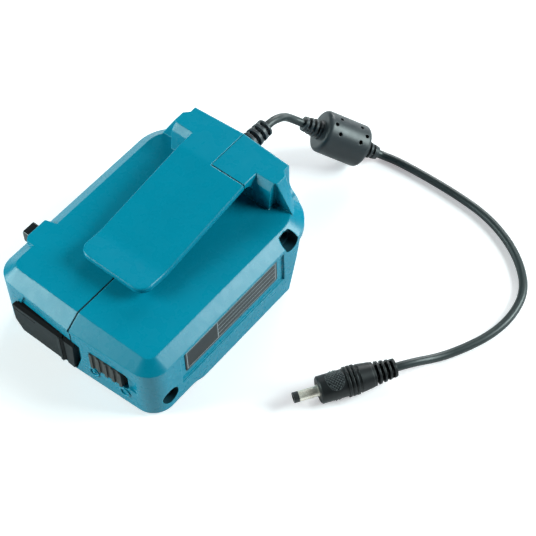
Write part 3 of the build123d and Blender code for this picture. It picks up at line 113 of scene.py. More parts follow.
# The paper is matt, and to the camera it also glows a little, up to full white far away
paper = bpy.data.materials.new("paper")
paper.use_nodes = True
nodes, links = paper.node_tree.nodes, paper.node_tree.links
nodes.clear()
out = nodes.new("ShaderNodeOutputMaterial")
matt = nodes.new("ShaderNodeBsdfDiffuse")
matt.inputs["Color"].default_value = PAPER_COLOUR
glow = nodes.new("ShaderNodeEmission")
glow.inputs["Color"].default_value = PAPER_GLOW_COLOUR
rays = nodes.new("ShaderNodeLightPath")
glow_level = nodes.new("ShaderNodeMath")
glow_level.operation = "MULTIPLY"
reach = nodes.new("ShaderNodeVectorMath")
reach.operation = "LENGTH"
links.new(place_of(nodes), reach.inputs[0])
far = nodes.new("ShaderNodeMapRange")
far.inputs["From Min"].default_value = GLOW_GROWS_FROM
far.inputs["From Max"].default_value = GLOW_GROWS_TO
far.inputs["To Min"].default_value = PAPER_GLOW
far.inputs["To Max"].default_value = PAPER_GLOW_FAR
links.new(reach.outputs["Value"], far.inputs["Value"])
links.new(far.outputs[0], glow_level.inputs[1])
both = nodes.new("ShaderNodeAddShader")
links.new(rays.outputs["Is Camera Ray"], glow_level.inputs[0])
links.new(glow_level.outputs[0], glow.inputs["Strength"])
links.new(matt.outputs[0], both.inputs[0])
links.new(glow.outputs[0], both.inputs[1])
links.new(both.outputs[0], out.inputs["Surface"])
paper_mesh.materials.append(paper)

# The room lights the adapter faintly, and the camera sees it as white
world = bpy.data.worlds.new("studio")
bpy.context.scene.world = world
world.use_nodes = True
nodes, links = world.node_tree.nodes, world.node_tree.links
nodes.clear()
out = nodes.new("ShaderNodeOutputWorld")
dim = nodes.new("ShaderNodeBackground")
dim.inputs["Color"].default_value = ROOM_COLOUR
dim.inputs["Strength"].default_value = ROOM_LIGHT
white = nodes.new("ShaderNodeBackground")
white.inputs["Color"].default_value = ROOM_SEEN
white.inputs["Strength"].default_value = 1.0
rays = nodes.new("ShaderNodeLightPath")
choose = nodes.new("ShaderNodeMixShader")
links.new(rays.outputs["Is Camera Ray"], choose.inputs[0])
links.new(dim.outputs[0], choose.inputs[1])
links.new(white.outputs[0], choose.inputs[2])
links.new(choose.outputs[0], out.inputs["Surface"])

for name, way, distance, size, watts, tint in SOFT_BOXES:
    lamp_data = bpy.data.lights.new(name, "AREA")
    lamp_data.shape = "SQUARE"
    lamp_data.size = size
    lamp_data.energy = watts
    lamp_data.color = tint
    lamp = bpy.data.objects.new(name, lamp_data)
    lamp.location = Vector(way).normalized() * distance + BOX_AIM
    lamp.rotation_euler = Vector(way).to_track_quat("Z", "Y").to_euler()
    bpy.context.scene.collection.objects.link(lamp)

# Housing shells
# Two halves of glass-filled nylon, closed on the seam at mid-width and screwed together from
# the right. The left half carries the belt clip and the button's tab. The mould is
# spark-eroded, so the teal plastic has a fine satin grain and slightly rounded edges.
SHELL_TEAL = (0.0, 0.205, 0.310, 1)
SHELL_TEAL_LIGHT = (0.0, 0.217, 0.326, 1)
# Lighter teal painted along the edges as a highlight
SHELL_EDGE = (0.05, 0.40, 0.52, 1)
# A height between the roof and the clip's platform
OVER_ROOF_Z = 0.0321
CLIP_BEND_Y = 0.0302
CLIP_HALF_WIDTH = 0.0155
SEAM_DARK = (0.0, 0.020, 0.032, 1)
SEAM_REACH = 0.00034
CROSS_SEAM_REACH = 0.00020
# The painted seam shadow is a little wider at the foot of the front chamfer
SEAM_FOOT_REACH = 0.00050
SEAM_FOOT_Z = 0.0260
SEAM_FOOT_HALF = 0.0008
WELL_DARK = (0.0, 0.030, 0.045, 1)
WELL_RADIUS = 0.00285
WELL_FLOOR_X = 0.0065
WELL_MOUTH_RADIUS = 0.0037
WELL_MOUTH_X = 0.0338
# Front and rear well on the right side, along the adapter and in height
WELL_PLACES = [(-0.0386, 0.0089), (0.0295, 0.0268)]

DRIFT_SIZE = 0.018
DRIFT_FROM, DRIFT_TO = 0.35, 0.65
GLOSS_SPOT = 0.004
GLOSS_FROM, GLOSS_TO = 0.3, 0.7
GLOSS_SWING = 0.035
GRAIN_STRENGTH = 0.6
# The lighter edge colour is a painted highlight: its share, and the turns of the rounded normal
# where it begins and where it is full
EDGE_SHARE = 0.5
EDGE_SAMPLES = 8
EDGE_BEGINS, EDGE_FULL = 0.99, 0.80


def speckle(nodes, links, size, detail=2.0, stretch=(1, 1, 1)):
    """Noise with spots of about that size in metres, longer along the stretched ways."""
    spread = nodes.new("ShaderNodeMapping")
    spread.inputs["Scale"].default_value = [1 / (size * k) for k in stretch]
    noise = nodes.new("ShaderNodeTexNoise")
    noise.inputs["Scale"].default_value = 1.0
    noise.inputs["Detail"].default_value = detail
    links.new(place_of(nodes), spread.inputs["Vector"])
    links.new(spread.outputs[0], noise.inputs["Vector"])
    return noise.outputs["Fac"]


def ramp(nodes, links, value, *stops):
    """From one colour or grey to another, along a value from 0 to 1."""
    band = nodes.new("ShaderNodeValToRGB")
    for element, (at, colour) in zip(band.color_ramp.elements, stops):
        element.position = at
        element.color = colour if hasattr(colour, "__len__") else (colour, colour, colour, 1)
    links.new(value, band.inputs["Fac"])
    return band.outputs["Color"]


def colour_over(nodes, links, amount, ground, colour):
    """The ground's colour, replaced by another where the amount is 1."""
    mix = nodes.new("ShaderNodeMix")
    mix.data_type = "RGBA"
    links.new(amount, mix.inputs["Factor"])
    links.new(ground, mix.inputs["A"])
    mix.inputs["B"].default_value = colour
    return mix.outputs["Result"]


def near(nodes, links, value, at, reach):
    """1 where a value lies within reach of a mark."""
    test = nodes.new("ShaderNodeMath")
    test.operation = "COMPARE"
    test.inputs[1].default_value = at
    test.inputs[2].default_value = reach
    links.new(value, test.inputs[0])
    return test.outputs[0]


def between(nodes, links, value, low, high):
    """1 where a value lies between two marks."""
    return near(nodes, links, value, (low + high) / 2, (high - low) / 2)


def beyond(nodes, links, value, mark, side="GREATER_THAN"):
    """1 where a value lies on that side of a mark."""
    test = nodes.new("ShaderNodeMath")
    test.operation = side
    test.inputs[1].default_value = mark
    links.new(value, test.inputs[0])
    return test.outputs[0]


def join(nodes, links, operation, *values):
    """One maths node after another over several values."""
    result = values[0]
    for value in values[1:]:
        step = nodes.new("ShaderNodeMath")
        step.operation = operation
        links.new(result, step.inputs[0])
        links.new(value, step.inputs[1])
        result = step.outputs[0]
    return result


def rounded(nodes, links, radius):
    """Normal that runs round the edges as if they were rounded to that radius."""
    soft = nodes.new("ShaderNodeBevel")
    soft.samples = EDGE_SAMPLES
    soft.inputs["Radius"].default_value = radius
    return soft.outputs[0]


def painted_edge_highlight(nodes, links, normal):
    """How much of the painted edge highlight shows, from how far a rounded normal turns from the
    face's.
    """
    face = nodes.new("ShaderNodeNewGeometry")
    turn = nodes.new("ShaderNodeVectorMath")
    turn.operation = "DOT_PRODUCT"
    links.new(normal, turn.inputs[0])
    links.new(face.outputs["Normal"], turn.inputs[1])
    amount = nodes.new("ShaderNodeMapRange")
    amount.inputs["From Min"].default_value = EDGE_BEGINS
    amount.inputs["From Max"].default_value = EDGE_FULL
    amount.inputs["To Max"].default_value = EDGE_SHARE
    links.new(turn.outputs["Value"], amount.inputs["Value"])
    return amount.outputs[0]


def raised(nodes, links, height, strength, depth, normal=None):
    """Normal of a skin whose height follows a value, on top of another normal."""
    bump = nodes.new("ShaderNodeBump")
    bump.inputs["Strength"].default_value = strength
    bump.inputs["Distance"].default_value = depth
    links.new(height, bump.inputs["Height"])
    if normal is not None:
        links.new(normal, bump.inputs["Normal"])
    return bump.outputs[0]


def new_material(name):
    """A new material with its nodes, its links and its skin."""
    material = bpy.data.materials.new(name)
    material.use_nodes = True
    tree = material.node_tree
    return material, tree.nodes, tree.links, tree.nodes["Principled BSDF"]


def moulded(name, dark, light, edge, roughness, grain, depth, rounding, specular=0.5):
    """Moulded plastic or rubber: its tone drifts, its skin is grained, its edges are rounded and
    carry a painted highlight.
    """
    material, nodes, links, skin = new_material(name)
    drift = speckle(nodes, links, DRIFT_SIZE, detail=3.0)
    tone = ramp(nodes, links, drift, (DRIFT_FROM, dark), (DRIFT_TO, light))
    normal = rounded(nodes, links, rounding)
    edge_highlight_amount = painted_edge_highlight(nodes, links, normal)
    # Painted highlight: the lighter edge colour laid over the tone along the edges
    links.new(colour_over(nodes, links, edge_highlight_amount, tone, edge), skin.inputs["Base Color"])
    spots = speckle(nodes, links, GLOSS_SPOT)
    gloss = ramp(
        nodes, links, spots,
        (GLOSS_FROM, roughness - GLOSS_SWING), (GLOSS_TO, roughness + GLOSS_SWING),
    )
    links.new(gloss, skin.inputs["Roughness"])
    skin.inputs["Specular IOR Level"].default_value = specular
    fine = speckle(nodes, links, grain, detail=3.0)
    links.new(raised(nodes, links, fine, GRAIN_STRENGTH, depth, normal), skin.inputs["Normal"])
    return material


def paint(material, amount, colour, dull=False):
    """Lays a colour over a material where the amount is 1. Dull also takes the shine away there."""
    nodes, links = material.node_tree.nodes, material.node_tree.links
    skin = nodes["Principled BSDF"]
    ground = skin.inputs["Base Color"].links[0].from_socket
    links.new(colour_over(nodes, links, amount, ground, colour), skin.inputs["Base Color"])
    if dull:
        gloss = skin.inputs["Roughness"].links[0].from_socket
        links.new(join(nodes, links, "MAXIMUM", gloss, amount), skin.inputs["Roughness"])


def dress(material, *names):
    """The material goes on the CAD nodes with these names."""
    for name in names:
        mesh = node[name].data
        if not mesh.materials:
            mesh.materials.append(material)
        for k in range(len(mesh.materials)):
            mesh.materials[k] = material


def spot_on(material):
    """Nodes and links of a material, and the coordinates X, Y and Z of each spot on its piece."""
    nodes, links = material.node_tree.nodes, material.node_tree.links
    spot = nodes.new("ShaderNodeSeparateXYZ")
    links.new(place_of(nodes), spot.inputs[0])
    return nodes, links, spot.outputs


shell_plastic = moulded(
    "teal_shell_plastic", SHELL_TEAL, SHELL_TEAL_LIGHT, SHELL_EDGE,
    roughness=0.28, grain=0.00022, depth=0.000010, rounding=0.0006, specular=0.29,
)

# Shadow in the seam: lengthways over the roof and the walls, wider at the chamfer's foot, and
# across the platform behind the clip's right half
nodes, links, place = spot_on(shell_plastic)
on_midline = near(nodes, links, place["X"], 0, SEAM_REACH)
up_to_roof = beyond(nodes, links, place["Z"], OVER_ROOF_Z, "LESS_THAN")
lengthways = join(nodes, links, "MULTIPLY", on_midline, up_to_roof)
on_bend = near(nodes, links, place["Y"], CLIP_BEND_Y, CROSS_SEAM_REACH)
over_roof = beyond(nodes, links, place["Z"], OVER_ROOF_Z)
right_half_of_clip = between(nodes, links, place["X"], 0, CLIP_HALF_WIDTH)
crossways = join(nodes, links, "MULTIPLY", on_bend, over_roof, right_half_of_clip)
beside_midline = near(nodes, links, place["X"], 0, SEAM_FOOT_REACH)
at_foot = near(nodes, links, place["Z"], SEAM_FOOT_Z, SEAM_FOOT_HALF)
wider = join(nodes, links, "MULTIPLY", beside_midline, at_foot)
in_seam = join(nodes, links, "MAXIMUM", lengthways, crossways, wider)

# Shadow in the two screw wells, each with a wider mouth
wells = []
for well_y, well_z in WELL_PLACES:
    flat = nodes.new("ShaderNodeCombineXYZ")
    links.new(place["Y"], flat.inputs["Y"])
    links.new(place["Z"], flat.inputs["Z"])
    aside = nodes.new("ShaderNodeVectorMath")
    aside.operation = "DISTANCE"
    aside.inputs[1].default_value = (0, well_y, well_z)
    links.new(flat.outputs[0], aside.inputs[0])
    for radius, bottom_x in ((WELL_RADIUS, WELL_FLOOR_X), (WELL_MOUTH_RADIUS, WELL_MOUTH_X)):
        in_circle = near(nodes, links, aside.outputs["Value"], 0, radius)
        past_bottom = beyond(nodes, links, place["X"], bottom_x)
        wells.append(join(nodes, links, "MULTIPLY", in_circle, past_bottom))
in_wells = join(nodes, links, "MAXIMUM", *wells)
paint(shell_plastic, in_wells, WELL_DARK, dull=True)
paint(shell_plastic, in_seam, SEAM_DARK, dull=True)
dress(shell_plastic, "left_shell", "right_shell")

# Position marks of the selector
# Two small raised rings of the shell's plastic, moulded into the right half under the ends of
# the slider's slot. The first has a dot in it.
MARK_HEIGHT = 0.00045
MARK_SHOULDER = 0.00027
MARK_ROOT = -0.0001
MARK_RADIUS = 0.0024
MARK_WIDTH = 0.0007
MARK_LIP = 0.000175
MARK_DOT_RADIUS = 0.0007
# The dot has an eye too small to see, so that its faces don't run together in a point
MARK_DOT_EYE = 0.00002
MARK_STEPS = 40
MARK_DOT_STEPS = 24
# Distance along the right half of the front wall, height, and whether there is a dot
MARK_PLACES = [(0.0100, 0.0088, True), (0.0241, 0.0088, False)]
FRONT_RIDGE_Y = -0.0487
FRONT_SIDE_Y = -0.0468
FRONT_HALF_WIDTH = 0.038

front_angle = math.atan2(FRONT_SIDE_Y - FRONT_RIDGE_Y, FRONT_HALF_WIDTH)
wall_along = Vector((math.cos(front_angle), math.sin(front_angle), 0))
wall_out = Vector((math.sin(front_angle), -math.cos(front_angle), 0))


def new_piece(name, mesh_maker, material, body):
    """A mesh of flat faces made in a bmesh, with its material, on a body."""
    mesh = bpy.data.meshes.new(name)
    shape = bmesh.new()
    mesh_maker(shape)
    bmesh.ops.recalc_face_normals(shape, faces=shape.faces)
    shape.to_mesh(mesh)
    shape.free()
    mesh.materials.append(material)
    piece = bpy.data.objects.new(name, mesh)
    bpy.context.scene.collection.objects.link(piece)
    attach(piece, body)


def join_rings(shape, rings):
    """Faces between each closed ring of points and the next, and from the last to the first."""
    for ring, following in zip(rings, rings[1:] + rings[:1]):
        for k in range(len(ring)):
            j = (k + 1) % len(ring)
            shape.faces.new((ring[k], ring[j], following[j], following[k]))


def lathe(shape, outline, centre, axis, start, steps):
    """Turns an outline, given as distances along the axis and radii, all the way round it."""
    side = axis.cross(start).normalized()
    rings = []
    for step in range(steps):
        turn = 2 * math.pi * step / steps
        ray = start * math.cos(turn) + side * math.sin(turn)
        rings.append([shape.verts.new(centre + axis * a + ray * r) for a, r in outline])
    join_rings(shape, rings)


def ring_marks(shape):
    """The two rings and the dot, standing on the right half of the front wall."""
    up = Vector((0, 0, 1))
    inner = MARK_RADIUS - MARK_WIDTH
    ring = [
        (MARK_ROOT, inner),
        (MARK_SHOULDER, inner),
        (MARK_HEIGHT, inner + MARK_LIP),
        (MARK_HEIGHT, MARK_RADIUS - MARK_LIP),
        (MARK_SHOULDER, MARK_RADIUS),
        (MARK_ROOT, MARK_RADIUS),
    ]
    dot = [
        (MARK_ROOT, MARK_DOT_EYE),
        (MARK_ROOT, MARK_DOT_RADIUS),
        (MARK_SHOULDER, MARK_DOT_RADIUS),
        (MARK_HEIGHT, MARK_DOT_RADIUS - MARK_LIP),
        (MARK_HEIGHT, MARK_DOT_EYE),
    ]
    for along, height, has_dot in MARK_PLACES:
        centre = Vector((0, FRONT_RIDGE_Y, 0)) + wall_along * along + up * height
        lathe(shape, ring, centre, wall_out, up, MARK_STEPS)
        if has_dot:
            lathe(shape, dot, centre, wall_out, up, MARK_DOT_STEPS)


new_piece("selector_marks", ring_marks, shell_plastic, "housing")

# Rating label
# A thin black polyester sticker in a shallow recess of the right side. It is printed with a
# plain ruled form in pale grey, with nothing written in it.
LABEL_BLACK = (0.010, 0.012, 0.014, 1)
LABEL_GREY = (0.016, 0.018, 0.020, 1)
LABEL_EDGE = (0.10, 0.11, 0.12, 1)
LABEL_PRINT = (0.42, 0.47, 0.50, 1)
# Front lower and rear upper corner, along the adapter and in height
LABEL_CORNERS = ((-0.0294, 0.0131), (0.0212, 0.0247))
LABEL_MARGIN = 0.0009
LABEL_HALF_STROKE = 0.00011
LABEL_ROWS = 4
LABEL_COLUMN_Y = -0.0120

label_film = moulded(
    "label_film", LABEL_BLACK, LABEL_GREY, LABEL_EDGE,
    roughness=0.36, grain=0.0004, depth=0.000006, rounding=0.00008, specular=0.30,
)
nodes, links, place = spot_on(label_film)
(front_y, bottom_z), (rear_y, top_z) = LABEL_CORNERS
front_y, rear_y = front_y + LABEL_MARGIN, rear_y - LABEL_MARGIN
bottom_z, top_z = bottom_z + LABEL_MARGIN, top_z - LABEL_MARGIN
whole_width = between(
    nodes, links, place["Y"], front_y - LABEL_HALF_STROKE, rear_y + LABEL_HALF_STROKE
)
whole_height = between(
    nodes, links, place["Z"], bottom_z - LABEL_HALF_STROKE, top_z + LABEL_HALF_STROKE
)
behind_column = between(nodes, links, place["Y"], LABEL_COLUMN_Y, rear_y)
strokes = []
for stroke_y in (front_y, LABEL_COLUMN_Y, rear_y):
    stroke = near(nodes, links, place["Y"], stroke_y, LABEL_HALF_STROKE)
    strokes.append(join(nodes, links, "MULTIPLY", stroke, whole_height))
for row in range(LABEL_ROWS + 1):
    stroke = near(
        nodes, links, place["Z"], bottom_z + (top_z - bottom_z) * row / LABEL_ROWS, LABEL_HALF_STROKE
    )
    across = whole_width if row in (0, LABEL_ROWS) else behind_column
    strokes.append(join(nodes, links, "MULTIPLY", stroke, across))
paint(label_film, join(nodes, links, "MAXIMUM", *strokes), LABEL_PRINT)
dress(label_film, "rating_label")

# Case screws and board screws
# Zinc-plated steel. Two long case screws sit deep in the wells of the right half, and four
# short ones hold the main board on its posts.
SCREW_ZINC = (0.52, 0.53, 0.54, 1)
SCREW_DULL = (0.30, 0.31, 0.32, 1)
TARNISH_SIZE = 0.0018
TARNISH_FROM, TARNISH_TO = 0.35, 0.62
SCRATCH_SIZE = 0.00015
SCRATCH_STRENGTH = 0.35
SCRATCH_DEPTH = 0.000006
SCRATCH_SMOOTHER, SCRATCH_ROUGHER = 0.06, 0.08


def worn_metal(name, bright, dull, roughness, rounding, brush=(1, 1, 1), metal=1.0):
    """Plated metal with cloudy tarnish and fine scratches, longer along the brushed way."""
    material, nodes, links, skin = new_material(name)
    skin.inputs["Metallic"].default_value = metal
    cloud = speckle(nodes, links, TARNISH_SIZE, detail=4.0)
    tone = ramp(nodes, links, cloud, (TARNISH_FROM, dull), (TARNISH_TO, bright))
    links.new(tone, skin.inputs["Base Color"])
    scratches = speckle(nodes, links, SCRATCH_SIZE, stretch=brush)
    gloss = ramp(
        nodes, links, scratches,
        (GLOSS_FROM, roughness - SCRATCH_SMOOTHER), (GLOSS_TO, roughness + SCRATCH_ROUGHER),
    )
    links.new(gloss, skin.inputs["Roughness"])
    normal = rounded(nodes, links, rounding)
    scratched = raised(nodes, links, scratches, SCRATCH_STRENGTH, SCRATCH_DEPTH, normal)
    links.new(scratched, skin.inputs["Normal"])
    return material


screw_steel = worn_metal(
    "zinc_screw_steel", SCREW_ZINC, SCREW_DULL, roughness=0.34, rounding=0.00015
)
dress(screw_steel, "case_screws", "board_screws")

# USB cover and its anchor
# One moulding of soft black rubber: the flap plugs the USB socket and folds on a thin web
# beside its upright rib, and the anchor is held in the seam. The bevel along its top and the
# groove below it lie in shadow.
COVER_BLACK = (0.009, 0.012, 0.014, 1)
COVER_GREY = (0.017, 0.022, 0.026, 1)
COVER_EDGE = (0.10, 0.115, 0.12, 1)
COVER_SHADE = (0.001, 0.0015, 0.002, 1)
COVER_BEVEL_Z = 0.01745
COVER_GROOVE_Z = 0.0154
COVER_GROOVE_REACH = 0.00025
COVER_GROOVE_END_X = -0.0174

cover_rubber = moulded(
    "cover_rubber", COVER_BLACK, COVER_GREY, COVER_EDGE,
    roughness=0.56, grain=0.00016, depth=0.000022, rounding=0.00030, specular=0.26,
)
nodes, links, place = spot_on(cover_rubber)
on_bevel = beyond(nodes, links, place["Z"], COVER_BEVEL_Z)
in_groove = join(
    nodes, links, "MULTIPLY",
    near(nodes, links, place["Z"], COVER_GROOVE_Z, COVER_GROOVE_REACH),
    beyond(nodes, links, place["X"], COVER_GROOVE_END_X, "LESS_THAN"),
)
in_shadow = join(nodes, links, "MAXIMUM", on_bevel, in_groove)
paint(cover_rubber, in_shadow, COVER_SHADE, dull=True)
dress(cover_rubber, "usb_cover", "usb_cover_anchor")

# USB socket and its board
# A folded tin-plated sheet shell with a white nylon tongue and gilt contacts, soldered to a
# small glass-epoxy board. The board is green mask over copper tracks, with bare laminate on
# its cut edges, and the main circuit board is made the same way.
SOCKET_TIN = (0.60, 0.61, 0.62, 1)
SOCKET_DULL = (0.42, 0.43, 0.44, 1)
TONGUE_WHITE = (0.66, 0.66, 0.63, 1)
TONGUE_LIGHT = (0.72, 0.72, 0.69, 1)
TONGUE_EDGE = (0.80, 0.80, 0.78, 1)
CONTACT_BRASS = (0.72, 0.52, 0.24, 1)
CONTACT_DULL = (0.50, 0.36, 0.17, 1)
MASK_GREEN = (0.006, 0.085, 0.036, 1)
MASK_TRACK = (0.014, 0.150, 0.062, 1)
EPOXY_EDGE = (0.30, 0.33, 0.16, 1)
TRACKS_PER_METRE = 320
TRACK_FROM, TRACK_TO = 0.30, 0.36
TRACK_STRENGTH = 0.4
TRACK_DEPTH = 0.00003
# A face counts as cut edge while its way up is less than this
CUT_EDGE_RISE = 0.5
MASK_SPOT = 0.0006
MASK_SMOOTH, MASK_ROUGH = 0.22, 0.34

socket_tin = worn_metal("socket_tin", SOCKET_TIN, SOCKET_DULL, roughness=0.28, rounding=0.00015)
dress(socket_tin, "usb_socket")
tongue_nylon = moulded(
    "tongue_nylon", TONGUE_WHITE, TONGUE_LIGHT, TONGUE_EDGE,
    roughness=0.45, grain=0.0002, depth=0.00001, rounding=0.00012,
)
dress(tongue_nylon, "usb_tongue")
contact_brass = worn_metal(
    "contact_brass", CONTACT_BRASS, CONTACT_DULL, roughness=0.27, rounding=0.00012, brush=(4, 1, 1)
)
dress(contact_brass, "usb_contacts")

laminate, nodes, links, skin = new_material("board_laminate")
spread = nodes.new("ShaderNodeMapping")
spread.inputs["Scale"].default_value = (TRACKS_PER_METRE, TRACKS_PER_METRE, 0)
cells = nodes.new("ShaderNodeTexVoronoi")
cells.distance = "CHEBYCHEV"
cells.feature = "F1"
cells.inputs["Scale"].default_value = 1.0
links.new(place_of(nodes), spread.inputs["Vector"])
links.new(spread.outputs[0], cells.inputs["Vector"])
tracks = ramp(
    nodes, links, cells.outputs["Distance"], (TRACK_FROM, MASK_GREEN), (TRACK_TO, MASK_TRACK)
)
face = nodes.new("ShaderNodeNewGeometry")
face_way = nodes.new("ShaderNodeSeparateXYZ")
way_up = nodes.new("ShaderNodeMath")
way_up.operation = "ABSOLUTE"
links.new(face.outputs["Normal"], face_way.inputs[0])
links.new(face_way.outputs["Z"], way_up.inputs[0])
cut_edge = beyond(nodes, links, way_up.outputs[0], CUT_EDGE_RISE, "LESS_THAN")
links.new(colour_over(nodes, links, cut_edge, tracks, EPOXY_EDGE), skin.inputs["Base Color"])
mask_gloss = ramp(
    nodes, links, speckle(nodes, links, MASK_SPOT),
    (GLOSS_FROM, MASK_SMOOTH), (GLOSS_TO, MASK_ROUGH),
)
links.new(mask_gloss, skin.inputs["Roughness"])
links.new(raised(nodes, links, tracks, TRACK_STRENGTH, TRACK_DEPTH), skin.inputs["Normal"])
dress(laminate, "usb_board", "circuit_board")

# Selector slider and its switch
# The slider is hard dark grey-brown plastic with five ribs for the fingertip. Behind the wall
# it moves the nub of a slide switch in a folded tin case.
KNOB_DARK = (0.032, 0.032, 0.031, 1)
KNOB_LIGHT = (0.050, 0.050, 0.048, 1)
KNOB_EDGE = (0.20, 0.22, 0.22, 1)
SWITCH_TIN = (0.50, 0.51, 0.52, 1)
SWITCH_DULL = (0.36, 0.37, 0.38, 1)

slider_plastic = moulded(
    "slider_plastic", KNOB_DARK, KNOB_LIGHT, KNOB_EDGE,
    roughness=0.44, grain=0.0002, depth=0.00002, rounding=0.0002, specular=0.28,
)
dress(slider_plastic, "selector_knob")
switch_tin = worn_metal("switch_tin", SWITCH_TIN, SWITCH_DULL, roughness=0.33, rounding=0.00015)
dress(switch_tin, "selector_switch")

# Power button and its tact switch
# A glossy black cap that stands out of the tab on the left side and presses a small tact
# switch inside.
BUTTON_BLACK = (0.012, 0.014, 0.015, 1)
BUTTON_GREY = (0.018, 0.020, 0.022, 1)
BUTTON_EDGE = (0.08, 0.09, 0.095, 1)
TACT_BLACK = (0.018, 0.018, 0.020, 1)
TACT_GREY = (0.030, 0.030, 0.032, 1)
TACT_EDGE = (0.09, 0.09, 0.09, 1)

button_plastic = moulded(
    "button_plastic", BUTTON_BLACK, BUTTON_GREY, BUTTON_EDGE,
    roughness=0.24, grain=0.0004, depth=0.000006, rounding=0.00035,
)
dress(button_plastic, "power_button")
tact_plastic = moulded(
    "tact_plastic", TACT_BLACK, TACT_GREY, TACT_EDGE,
    roughness=0.38, grain=0.0003, depth=0.00001, rounding=0.0002,
)
dress(tact_plastic, "tact_switch")

# Parts on the main board
# A shielded inductor, a row of electrolytic capacitors in printed sleeves, resin-cased chips
# and a ceramic fuse, all soldered to the board.
INDUCTOR_DARK = (0.055, 0.055, 0.058, 1)
INDUCTOR_GREY = (0.085, 0.085, 0.088, 1)
INDUCTOR_EDGE = (0.16, 0.16, 0.16, 1)
CHIP_BLACK = (0.014, 0.014, 0.015, 1)
CHIP_GREY = (0.024, 0.024, 0.025, 1)
CHIP_EDGE = (0.05, 0.05, 0.05, 1)
FUSE_CREAM = (0.62, 0.60, 0.54, 1)
FUSE_LIGHT = (0.70, 0.68, 0.62, 1)
FUSE_EDGE = (0.78, 0.76, 0.72, 1)
SLEEVE_BLUE = (0.010, 0.022, 0.070, 1)
SLEEVE_LIGHT = (0.016, 0.034, 0.100, 1)
SLEEVE_EDGE = (0.10, 0.13, 0.22, 1)

ferrite_block = moulded(
    "ferrite_block", INDUCTOR_DARK, INDUCTOR_GREY, INDUCTOR_EDGE,
    roughness=0.55, grain=0.00012, depth=0.00003, rounding=0.0003,
)
dress(ferrite_block, "inductor")
chip_resin = moulded(
    "chip_resin", CHIP_BLACK, CHIP_GREY, CHIP_EDGE,
    roughness=0.50, grain=0.0001, depth=0.00001, rounding=0.0001,
)
dress(chip_resin, "chips")
fuse_ceramic = moulded(
    "fuse_ceramic", FUSE_CREAM, FUSE_LIGHT, FUSE_EDGE,
    roughness=0.50, grain=0.00015, depth=0.00001, rounding=0.00015,
)
dress(fuse_ceramic, "fuse")
capacitor_sleeve = moulded(
    "capacitor_sleeve", SLEEVE_BLUE, SLEEVE_LIGHT, SLEEVE_EDGE,
    roughness=0.22, grain=0.0012, depth=0.000012, rounding=0.00025,
)
dress(capacitor_sleeve, "capacitors")

# Terminal block and its blades
# Black glass-filled nylon that hangs from the deck into the battery bay, with two stamped
# brass power blades and two signal blades.
TERMINAL_BLACK = (0.014, 0.015, 0.016, 1)
TERMINAL_GREY = (0.024, 0.025, 0.027, 1)
TERMINAL_EDGE = (0.08, 0.08, 0.08, 1)

terminal_nylon = moulded(
    "terminal_nylon", TERMINAL_BLACK, TERMINAL_GREY, TERMINAL_EDGE,
    roughness=0.46, grain=0.00018, depth=0.00002, rounding=0.0003,
)
dress(terminal_nylon, "terminal_block")
dress(contact_brass, "power_blades", "signal_blades")

# Strain relief
# A ribbed sleeve of soft dark grey PVC, moulded over the cord and clamped in the tower's rear
# wall. The case of the ferrite bead has the same colours.
OVERMOULD_DARK = (0.026, 0.032, 0.037, 1)
OVERMOULD_GREY = (0.037, 0.045, 0.051, 1)
OVERMOULD_EDGE = (0.15, 0.16, 0.17, 1)

relief_pvc = moulded(
    "relief_pvc", OVERMOULD_DARK, OVERMOULD_GREY, OVERMOULD_EDGE,
    roughness=0.46, grain=0.0002, depth=0.00001, rounding=0.00025,
)
dress(relief_pvc, "strain_relief")

# Cord
# One round two-core lead with a soft black PVC jacket, 3.3 mm across. It leaves the strain
# relief, falls to the bead that is moulded onto it, and lies in a wide loop round to the plug.
JACKET_DARK = (0.020, 0.028, 0.030, 1)
JACKET_GREY = (0.028, 0.038, 0.040, 1)
PVC_EDGE = (0.07, 0.08, 0.085, 1)
CORD_DIAMETER = 0.0033
CORD_FLOOR = CORD_DIAMETER / 2
CORD_EXIT = (0, 0.0608, 0.0346)
CORD_ROUND_STEPS = 6
CORD_BEND_STEPS = 14
CORD_BEND_ORDER = 3
BEAD_WAY = Vector((0.6661, 0.5249, -0.5299))
BEAD_LEFT = Vector((0.00802, 0.0840, 0.01733))
BEAD_LENGTH = 0.01954
LEFT_BOOT = 0.0075
RIGHT_BOOT = 0.0070
LEFT_BOOT_LEAD = 0.0036
PLUG_TURN = math.radians(57.63)
PLUG_WAY = Vector((math.cos(PLUG_TURN), math.sin(PLUG_TURN), 0))
PLUG_FRONT = Vector((0.07592, -0.00315, 0.0056))
PLUG_LENGTH = 0.0292
PLUG_LEAD = 0.0065

left_boot_tip = BEAD_LEFT - BEAD_WAY * LEFT_BOOT
right_boot_tip = BEAD_LEFT + BEAD_WAY * (BEAD_LENGTH + RIGHT_BOOT)
landing = right_boot_tip + BEAD_WAY * ((CORD_FLOOR - right_boot_tip.z) / BEAD_WAY.z)
plug_cord_end = PLUG_FRONT + PLUG_WAY * PLUG_LENGTH
